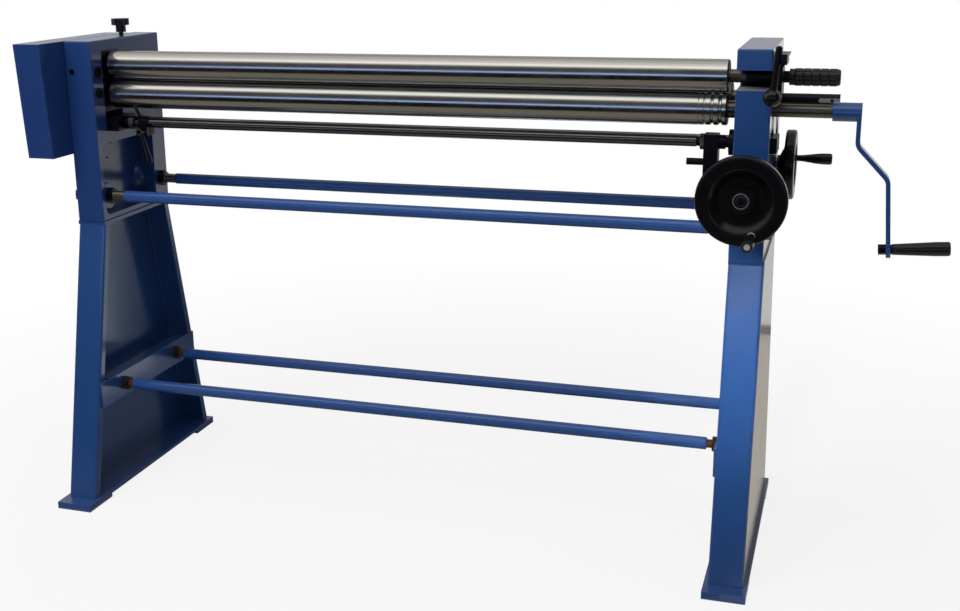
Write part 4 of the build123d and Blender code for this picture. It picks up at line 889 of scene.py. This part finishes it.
@dataclass
class SwingEnd:
    """The upper roll's open end: bearing sleeve, latch, moulded grip."""

    pads_along: int = 5
    pads_around: int = 8
    pads_from: float = 0.1
    pads_to: float = 0.94
    pad: float = 1.4 * MM
    plain: float = 0.25
    groove: float = 0.3
    bore: float = 8.05 * MM
    end_length: float = 5 * MM
    end_drop: float = 4 * MM
    end_wall: float = 4 * MM
    rows: int = 220
    columns: int = 128
    crease: float = 50.0

    def build(self) -> None:
        """Dresses the latch and adds the moulded grip."""
        dress(BLACK, "upper_sleeve", "latch_plate", "latch_lever")
        dress(BALL, "latch_ball")
        self.grip()

    def grip(self) -> None:
        """Replaces the plain grip by one with moulded pads.

        radius(s, t) = body + pad height times a soft window over each pad's length and width; the ends are
        rounded, and the bore takes the sleeve's core.
        """
        low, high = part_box("roll_grip")
        full = (high.z - low.z) / 2
        length = high.x - low.x
        along = np.linspace(0, length, self.rows)
        turn = np.linspace(0, 1, self.columns, endpoint=False)
        first, last = self.pads_from * length, self.pads_to * length
        share = np.clip((along - first) / (last - first), 0, 1)
        lengthwise = np.abs(np.mod(share * self.pads_along, 1) - 0.5) * 2
        crosswise = np.abs(np.mod(turn * self.pads_around, 1) - 0.5) * 2
        rise = np.sin(np.pi / 2 * np.clip((1 - lengthwise) / self.groove, 0, 1))[:, None]
        bulge = np.sin(np.pi / 2 * np.clip((1 - crosswise) / self.groove, 0, 1))
        inside = ((along > first) & (along < last))[:, None]
        end = np.clip((along - length + self.end_length) / self.end_length, 0, 1)
        body = full - self.pad - self.end_drop * (1 - np.sqrt(1 - end**2))
        radius = body[:, None] + self.pad * np.where(inside, rise * bulge, self.plain)
        floor = length - self.end_wall
        path = np.concatenate(([0.0], along, [length, floor, floor, 0.0]))
        bore = np.full((1, self.columns), self.bore)
        tip = np.zeros((1, self.columns))
        shell = np.vstack((bore, radius, tip, tip, bore, bore))
        start = Vector((low.x, (low.y + high.y) / 2, (low.z + high.z) / 2))
        patch = turned(path, shell, start, Axis.X, self.columns)
        piece = make_piece("moulded_roll_grip", [patch], RUBBER, "swing", self.crease)
        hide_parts("roll_grip")


@dataclass
class TieRods:
    """A pair of tie rods with its studs and nuts.

    The full thickness stops short of the housings, and the inner nuts cover a part of the bare studs.
    """

    name: str
    short: float
    stud_radius: float
    covered: float
    nuts: Finish
    studs: Finish
    coat: float = 0.25
    past: float = 4 * MM
    pitch: float = 2.5 * MM
    tooth: float = 0.45 * MM
    lift: float = 0.02 * MM

    def build(self) -> None:
        """Dresses the rods and their nuts and adds the threads that show beside the nuts."""
        node = f"{self.name}_tie_rods"
        low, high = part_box(node)
        centre = middle(node).x
        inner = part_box("housing_right")[0].x - centre
        # The rods take the lighter copy of the enamel: painted light
        rods = Split(name=f"{self.name}_rod_enamel_and_stud", slot=Slot.PAINT, near=LIT_ROD_BLUE, far=self.studs,
                     centre=centre, limit=inner - self.short, coat=self.coat)
        dress(rods, node)
        dress(self.nuts, f"{self.name}_rod_nuts")
        radius = (high.z - low.z) / 2
        root = self.stud_radius + self.lift
        crest = self.stud_radius + self.tooth
        shows = ((inner - self.short, self.short - self.covered), (high.x - centre - self.past, self.past))
        patches = []
        for y in (low.y + radius, high.y - radius):
            for reach, length in shows:
                for x in (centre + reach, centre - reach - length):
                    start = Vector((x, y, low.z + radius))
                    patches.append(thread(start, Axis.X, length, root, crest, self.pitch))
        make_piece(f"{self.name}_tie_threads", patches, self.studs, "frame")


@dataclass
class Crank:
    """The crank on the lower roll."""

    def build(self) -> None:
        """Dresses arm, bolt and handle."""
        dress(BLUE, "crank_arm")
        dress(BLACK, "crank_bolt")
        # The crank handle takes the lighter copy of the moulding: painted light
        dress(LIT_PHENOLIC, "crank_handle")


@dataclass
class Handwheel:
    """A handwheel with its spindle, stud and revolving handle."""

    prefix: str
    axis: Axis
    sign: float
    ring_inner: float = 12.0 * MM
    ring_outer: float = 14.4 * MM
    ring_thickness: float = 0.8 * MM
    hub_screw: ScrewHead = ScrewHead(radius=8.0 * MM, height=2.0 * MM, across=8 * MM, depth=1.6 * MM)
    waist: float = 7.0 * MM
    swell: float = 0.8
    swell_rows: int = 24
    crown: float = 4.0 * MM
    crown_rows: int = 9
    columns: int = 56
    bore: float = 4.05 * MM
    bore_wall: float = 6.0 * MM
    neck: float = 0.0
    neck_wall: Pair = (3.0 * MM, 2.2 * MM)
    seat_radius: float = 5.6 * MM
    seat_depth: float = 1.3 * MM
    handle_screw: ScrewHead = ScrewHead(radius=5.3 * MM, height=1.1 * MM, across=2.2 * MM, depth=1.0 * MM,
                                        recess=Recess.SLOT)

    def build(self) -> None:
        """Dresses the wheel and adds the hub's ring and its screw, and the handle."""
        wheel = f"{self.prefix}_wheel"
        dress(PHENOLIC, wheel, f"{self.prefix}_handle")
        dress(ZINC, f"{self.prefix}_stud")
        dress(SPINDLE, f"{self.prefix}_spindle")
        along = self.axis.value
        low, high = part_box(f"{self.prefix}_spindle")
        hub = middle(wheel)
        hub[along] = high[along] if self.sign > 0 else low[along]
        washer = ring(hub, self.axis, self.sign, self.ring_thickness, self.ring_inner, self.ring_outer)
        make_piece(f"{self.prefix}_hub_ring", [washer], DULL, wheel)
        head = self.hub_screw.patch(hub, self.axis, self.sign)
        make_piece(f"{self.prefix}_hub_screw", [head], BLACK, wheel)
        self.handle()

    def handle(self) -> None:
        """Replaces the handle by one whose slotted screw sits in a sunk seat.

        radius(s) = waist + (full - waist) times the squared sine of a quarter turn over the swell, then a
        quarter circle at the crown; the profile goes on into the screw's seat, and back through the bore.
        """
        along = self.axis.value
        handle = f"{self.prefix}_handle"
        low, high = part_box(handle)
        across = self.axis.others[0]
        full = (high[across] - low[across]) / 2
        length = high[along] - low[along]
        base = (low + high) / 2
        base[along] = low[along] if self.sign > 0 else high[along]
        swell = np.linspace(0, self.swell * length, self.swell_rows)
        body = self.waist + (full - self.waist) * np.sin(np.pi / 2 * swell / swell[-1]) ** 2
        turn = np.linspace(0, np.pi / 2, self.crown_rows)
        crown_at = length - self.crown * (1 - np.sin(turn))
        crown_radius = full - self.crown * (1 - np.cos(turn))
        floor = length - self.seat_depth
        blind = length - self.bore_wall
        path = np.concatenate(([blind, blind, 0.0], swell, crown_at, [length, floor, floor]))
        radius = np.concatenate((
            [0.0, self.bore, self.bore], body, crown_radius, [self.seat_radius, self.seat_radius, 0.0]))
        grip = turned(path, radius, base, self.axis, self.columns, self.sign)
        piece = make_piece(f"{self.prefix}_moulded_handle", [grip], PHENOLIC, handle)
        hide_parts(handle)
        if self.neck > 0:
            face = base.copy()
            face[along] -= self.sign * self.neck
            outer, tip = (self.bore + wall for wall in self.neck_wall)
            ferrule = ring(face, self.axis, self.sign, self.neck, self.bore, outer, tip)
            make_piece(f"{self.prefix}_handle_ferrule", [ferrule], ZINC, f"{self.prefix}_wheel")
        seat = base.copy()
        seat[along] += self.sign * floor
        slotted = self.handle_screw.patch(seat, self.axis, self.sign)
        make_piece(f"{handle}_screw", [slotted], ZINC, handle)


@dataclass
class CrossShaft:
    """The front cross shaft with its supports and clamp, and the rear one behind it."""

    pitch: float = 2 * MM
    thread_length: float = 15 * MM
    root: float = 8.52 * MM
    crest: float = 8.95 * MM
    collar_at: float = 38 * MM
    collar_length: float = 11.5 * MM
    collar_inner: float = 13.5 * MM
    collar_outer: float = 14.4 * MM
    lever_at: float = 73 * MM
    lever_front: float = 30 * MM
    lever_drop: float = 16.5 * MM
    lever_screw: ScrewHead = ScrewHead(radius=4.2 * MM, height=1.0 * MM, across=3.5 * MM, depth=0.8 * MM)
    washer_thickness: float = 0.8 * MM
    washer_inner: float = 4.4 * MM
    washer_outer: float = 7.2 * MM

    def build(self) -> None:
        """Dresses shafts, supports and clamp; the front shaft is threaded up to its nut and black past it."""
        dress(SHAFT, "rear_shaft")
        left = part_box("cross_shaft")[0].x
        low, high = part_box("shaft_nut")
        ends = Split(name="shaft_steel_and_black_ends", slot=Slot.GREY, near=SHAFT, far=BLACK,
                     centre=left, limit=high.x - left)
        dress(ends, "cross_shaft")
        dress(STUD, "shaft_nut")
        dress(BLACK, "clamp_collar", "shaft_flange", "shaft_bracket", "bracket_bar")
        dress(PHENOLIC, "clamp_lever")
        start = middle("shaft_nut")
        start.x = low.x - self.thread_length
        threads = thread(start, Axis.X, self.thread_length, self.root, self.crest, self.pitch)
        make_piece("shaft_thread", [threads], BLACK, "cross_shaft")
        self.clamp()

    def clamp(self) -> None:
        """Adds the bright collar on the clamp's hub and the washer and screw on its lever."""
        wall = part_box("housing_left")[1].x
        shaft = middle("cross_shaft")
        start = Vector((wall + self.collar_at, shaft.y, shaft.z))
        collar = ring(start, Axis.X, 1.0, self.collar_length, self.collar_inner, self.collar_outer)
        make_piece("clamp_hub_collar", [collar], STUD, "frame")
        hub = Vector((wall + self.lever_at, shaft.y - self.lever_front, shaft.z - self.lever_drop))
        washer = ring(hub, Axis.Y, -1.0, self.washer_thickness, self.washer_inner, self.washer_outer)
        make_piece("clamp_washer", [washer], STUD, "clamp_lever")
        make_piece("clamp_screw_head", [self.lever_screw.patch(hub, Axis.Y, -1.0)], BLACK, "clamp_lever")


@dataclass
class StarKnob:
    """The moulded star knob on the left housing."""

    def build(self) -> None:
        """Dresses the knob."""
        dress(PHENOLIC, "star_knob")


@dataclass(frozen=True)
class Card:
    """A studio card that only reflections see: its corner, two edges, colour and brightness."""

    name: str
    corner: Point
    across: Point
    up: Point
    colour: str
    strength: float = 1.0

    def hang(self) -> None:
        """Hangs the card."""
        mesh = sheet(self.name, self.corner, self.across, self.up)
        glow = bpy.data.materials.new(self.name)
        tree = empty_tree(glow)
        light = add_node(tree, "Emission", {"Color": linear(self.colour), "Strength": self.strength})
        add_node(tree, "OutputMaterial", {"Surface": light.outputs[0]})
        mesh.materials.append(glow)
        card = add_object(self.name, mesh)
        for ray in ("camera", "diffuse", "transmission", "shadow", "volume_scatter"):
            setattr(card, f"visible_{ray}", False)


CARDS = (
    Card("softbox_edge_card", (-6.0, -2.8, 3.6), (8.5, 0, 0), (0, 0.6, 0), "#C6C5C2"),
    Card("softbox_card", (-6.0, -2.2, 3.6), (8.5, 0, 0), (0, 1.1, 0), "#FFFDF8", 1.45),
    Card("ceiling_near_card", (-6.0, -1.1, 3.6), (8.5, 0, 0), (0, 1.0, 0), "#F6F4F0"),
    Card("ceiling_card", (-6.0, -0.1, 3.6), (8.5, 0, 0), (0, 1.4, 0), "#D3D1CF"),
    Card("ceiling_far_card", (-6.0, 1.3, 3.6), (8.5, 0, 0), (0, 3.1, 0), "#AAA8A6"),
    Card("front_upper_card", (-8.0, -3.2, 3.4), (11.0, 0, 0), (0, 0, 2.0), "#6C6A69"),
    Card("front_high_card", (-8.0, -3.2, 1.36), (11.0, 0, 0), (0, 0, 2.04), "#484B52"),
    Card("front_strip_card", (-2.65, -3.2, 0.8), (5.65, 0, 0), (0, 0, 0.56), "#B0CAFF", 1.3),
    Card("front_left_card", (-8.0, -3.2, 0.8), (5.35, 0, 0), (0, 0, 0.56), "#101012"),
    Card("front_low_card", (-8.0, -3.2, 0.003), (11.0, 0, 0), (0, 0, 0.797), "#101012"),
    Card("front_edge_card", (-8.0, -3.2, 0.002), (11.0, 0, 0), (0, 1.95, 0), "#141413"),
    Card("front_floor_card", (-8.0, -1.25, 0.003), (11.0, 0, 0), (0, 1.3, 0), "#7E786D"),
    # A dark card that only reflections see under and behind the machine: painted shade of the floor there
    Card("under_shade_card", (-8.0, 0.05, 0.001), (8.55, 0, 0), (0, 1.6, 0), "#2E2C29"),
    Card("inner_near_card", (-1.1, 0.05, 0.003), (0.7, 0, 0), (0, 0.9, 0), "#6C7480"),
    Card("inner_bright_card", (-0.4, 0.144, 0.003), (0.4, 0.64, 0), (0, 0.5, 0), "#ECF4FF", 1.5),
    Card("inner_pale_card", (0.0, 0.784, 0.003), (0.74, 1.184, 0), (0, 0.5, 0), "#F0FAFF", 1.35),
    Card("inner_dark_card", (-0.4, 0.644, 0.003), (1.14, 1.824, 0), (0, 0.8, 0), "#202226"),
    Card("back_card", (-9.0, 5.0, 1.2), (13.0, 0, 0), (0, 0, 4.0), "#BEBDBC"),
    Card("back_left_card", (-3.0, 4.9, 0.01), (3.0, 0, 0), (0, 0, 2.4), "#1C1C1E"),
    Card("back_middle_card", (0.0, 5.0, 0.01), (1.7, 0, 0), (0, 0, 1.19), "#F4F2EE", 1.2),
    Card("back_right_card", (1.7, 5.0, 0.01), (4.3, 0, 0), (0, 0, 1.19), "#8E8F92"),
    Card("right_side_card", (3.2, -3.2, 0.01), (0, 3.4, 0), (0, 0, 4.5), "#2A2A2B"),
    Card("right_near_card", (0.55, -0.6, 0.004), (3.0, 0, 0), (0, 2.0, 0), "#CEC6B8"),
    Card("right_line_card", (0.55, 1.4, 0.004), (3.0, 0, 0), (0, 0.1, 0), "#6A665F"),
    Card("right_floor_card", (0.55, 1.5, 0.004), (3.0, 0, 0), (0, 4.2, 0), "#ECE9E2"),
)


@dataclass(frozen=True)
class Lamp:
    """A rectangular soft lamp: its place, aim, size, watts and the angle that its grid lets through."""

    name: str
    place: Point
    target: Point
    size: Pair
    power: float
    spread: float = 180.0

    def hang(self) -> None:
        """Hangs the lamp, unseen in reflections."""
        light = bpy.data.lights.new(self.name, "AREA")
        light.shape = "RECTANGLE"
        light.size, light.size_y = self.size
        light.energy = self.power
        light.spread = np.radians(self.spread)
        lamp = add_object(self.name, light)
        lamp.location = self.place
        ahead = Vector(self.target) - Vector(self.place)
        lamp.rotation_euler = ahead.to_track_quat("-Z", "Y").to_euler()
        lamp.visible_glossy = False


LAMPS = (
    Lamp("overhead_softbox", (-0.6, -1.0, 3.4), (0.0, -0.1, 0.6), (3.6, 1.8), 45.0),
    Lamp("front_fill", (-1.2, -2.6, 3.0), (-0.1, 0.0, 0.5), (1.6, 1.2), 62.0),
    Lamp("right_leg_fill", (0.35, -2.6, 1.35), (0.56, -0.15, 0.42), (0.25, 0.25), 0.57, 12.0),
)


@dataclass
class Studio:
    """Floor, surround, lamps, reflection cards and the photograph's camera."""

    white: str = "#FFFFFF"
    paper: str = "#C8C8C8"
    floor_reach: float = 150.0
    floor_drop: float = 0.2 * MM
    glow_from: float = 0.9
    glow_to: float = 2.2
    glow_least: float = 0.86
    ambient: Pair = (0.1, 0.4)
    ambient_span: Pair = (-0.2, 0.8)
    ambient_from: Point = (-0.35, -0.75, 0.56)
    camera_from: Point = (0.21523, -2.31406, 0.57498)
    yaw: float = 18.41
    pitch: float = -14.96
    roll: float = -0.87
    sensor: float = 36.0
    lens: float = 47.952
    shift: Pair = (0.04185, -0.02601)
    sight: float = 500.0

    def build(self) -> None:
        """Sets up the whole studio."""
        bpy.context.scene.view_settings.view_transform = "Standard"
        self.surround()
        self.floor()
        for lamp in LAMPS:
            lamp.hang()
        for card in CARDS:
            card.hang()
        self.camera()

    def surround(self) -> None:
        """Shows white to the camera and reflections, and lights the object most from the upper front."""
        world = bpy.data.worlds.new("studio_surround")
        tree = empty_tree(world)
        facing = add_node(tree, "TexCoord").outputs["Generated"]
        toward = add_node(tree, "VectorMath", {
            0: facing, 1: self.ambient_from}, operation="DOT_PRODUCT").outputs["Value"]
        level = add_node(tree, "MapRange", {
            "Value": toward, "From Min": self.ambient_span[0], "From Max": self.ambient_span[1],
            "To Min": self.ambient[0], "To Max": self.ambient[1]})
        strength = self.seen(tree, level.outputs[0], 1.0)
        light = add_node(tree, "Background", {"Color": linear(self.white), "Strength": strength})
        add_node(tree, "OutputWorld", {"Surface": light.outputs[0]})
        bpy.context.scene.world = world

    def seen(self, tree: Tree, unseen: Any, seen: Any) -> Socket:
        """Adds a value that differs for what the camera, reflections and glass see.

        Args:
            tree: the node tree.
            unseen: the value, or a socket, for other rays.
            seen: the value, or a socket, for camera, glossy and transmission rays.

        Returns:
            The value's socket.
        """
        path = add_node(tree, "LightPath").outputs
        glossy = add_node(tree, "Math", {
            0: path["Is Camera Ray"], 1: path["Is Glossy Ray"]}, operation="MAXIMUM")
        either = add_node(tree, "Math", {
            0: glossy.outputs[0], 1: path["Is Transmission Ray"]}, operation="MAXIMUM")
        return add_node(tree, "MapRange", {
            "Value": either.outputs[0], "To Min": unseen, "To Max": seen}).outputs[0]

    def floor(self) -> None:
        """Lays a pale floor that is mostly white to the camera and keeps the object's shadow."""
        reach = self.floor_reach
        mesh = sheet("studio_floor", (-reach, -reach, -self.floor_drop), (2 * reach, 0, 0), (0, 2 * reach, 0))
        paper = bpy.data.materials.new("matt_white_floor")
        tree = empty_tree(paper)
        matt = add_node(tree, "BsdfDiffuse", {"Color": linear(self.paper)})
        glow = add_node(tree, "Emission", {"Color": linear(self.white), "Strength": 1.0})
        place = add_node(tree, "TexCoord").outputs["Object"]
        away = add_node(tree, "VectorMath", {0: place}, operation="LENGTH").outputs["Value"]
        white = add_node(tree, "MapRange", {
            "Value": away, "From Min": self.glow_from, "From Max": self.glow_to, "To Min": self.glow_least})
        share = self.seen(tree, 0.0, white.outputs[0])
        mix = add_node(tree, "MixShader", {0: share, 1: matt.outputs[0], 2: glow.outputs[0]})
        add_node(tree, "OutputMaterial", {"Surface": mix.outputs[0]})
        mesh.materials.append(paper)
        floor = add_object("studio_floor", mesh)

    def camera(self) -> None:
        """Places the camera at the photograph's point of view, from the right housing's low corner."""
        yaw, pitch, roll = np.radians((self.yaw, self.pitch, self.roll))
        ahead = np.array((-np.sin(yaw) * np.cos(pitch), np.cos(yaw) * np.cos(pitch), np.sin(pitch)))
        level = np.array((np.cos(yaw), np.sin(yaw), 0.0))
        above = np.cross(level, ahead)
        right = np.cos(roll) * level + np.sin(roll) * above
        up = np.cos(roll) * above - np.sin(roll) * level
        data = bpy.data.cameras.new("photo_camera")
        data.sensor_fit = "HORIZONTAL"
        data.sensor_width = self.sensor
        data.lens = self.lens
        data.shift_x, data.shift_y = self.shift
        data.clip_end = self.sight
        camera = add_object("photo_camera", data)
        turn = Matrix(np.column_stack((right, up, -ahead)).tolist()).to_4x4()
        corner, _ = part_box("housing_right")
        camera.matrix_world = Matrix.Translation(corner + Vector(self.camera_from)) @ turn
        bpy.context.scene.camera = camera


def main() -> None:
    """Builds the sub-assemblies in order, then the studio."""
    logging.basicConfig(level=logging.INFO, format="%(message)s")
    assemblies = (
        Stands(),
        Housings(),
        Rolls(),
        SwingEnd(),
        TieRods("upper", short=40 * MM, stud_radius=10 * MM, covered=12 * MM, nuts=BLACK, studs=STUD),
        TieRods("lower", short=27 * MM, stud_radius=8 * MM, covered=16 * MM, nuts=BROWNED, studs=RUST),
        Crank(),
        Handwheel("front", Axis.Y, -1.0, neck=10 * MM),
        Handwheel("side", Axis.X, 1.0, waist=6.0 * MM),
        CrossShaft(),
        StarKnob(),
        Studio(),
    )
    for assembly in assemblies:
        assembly.build()


if __name__ == "__main__":
    main()
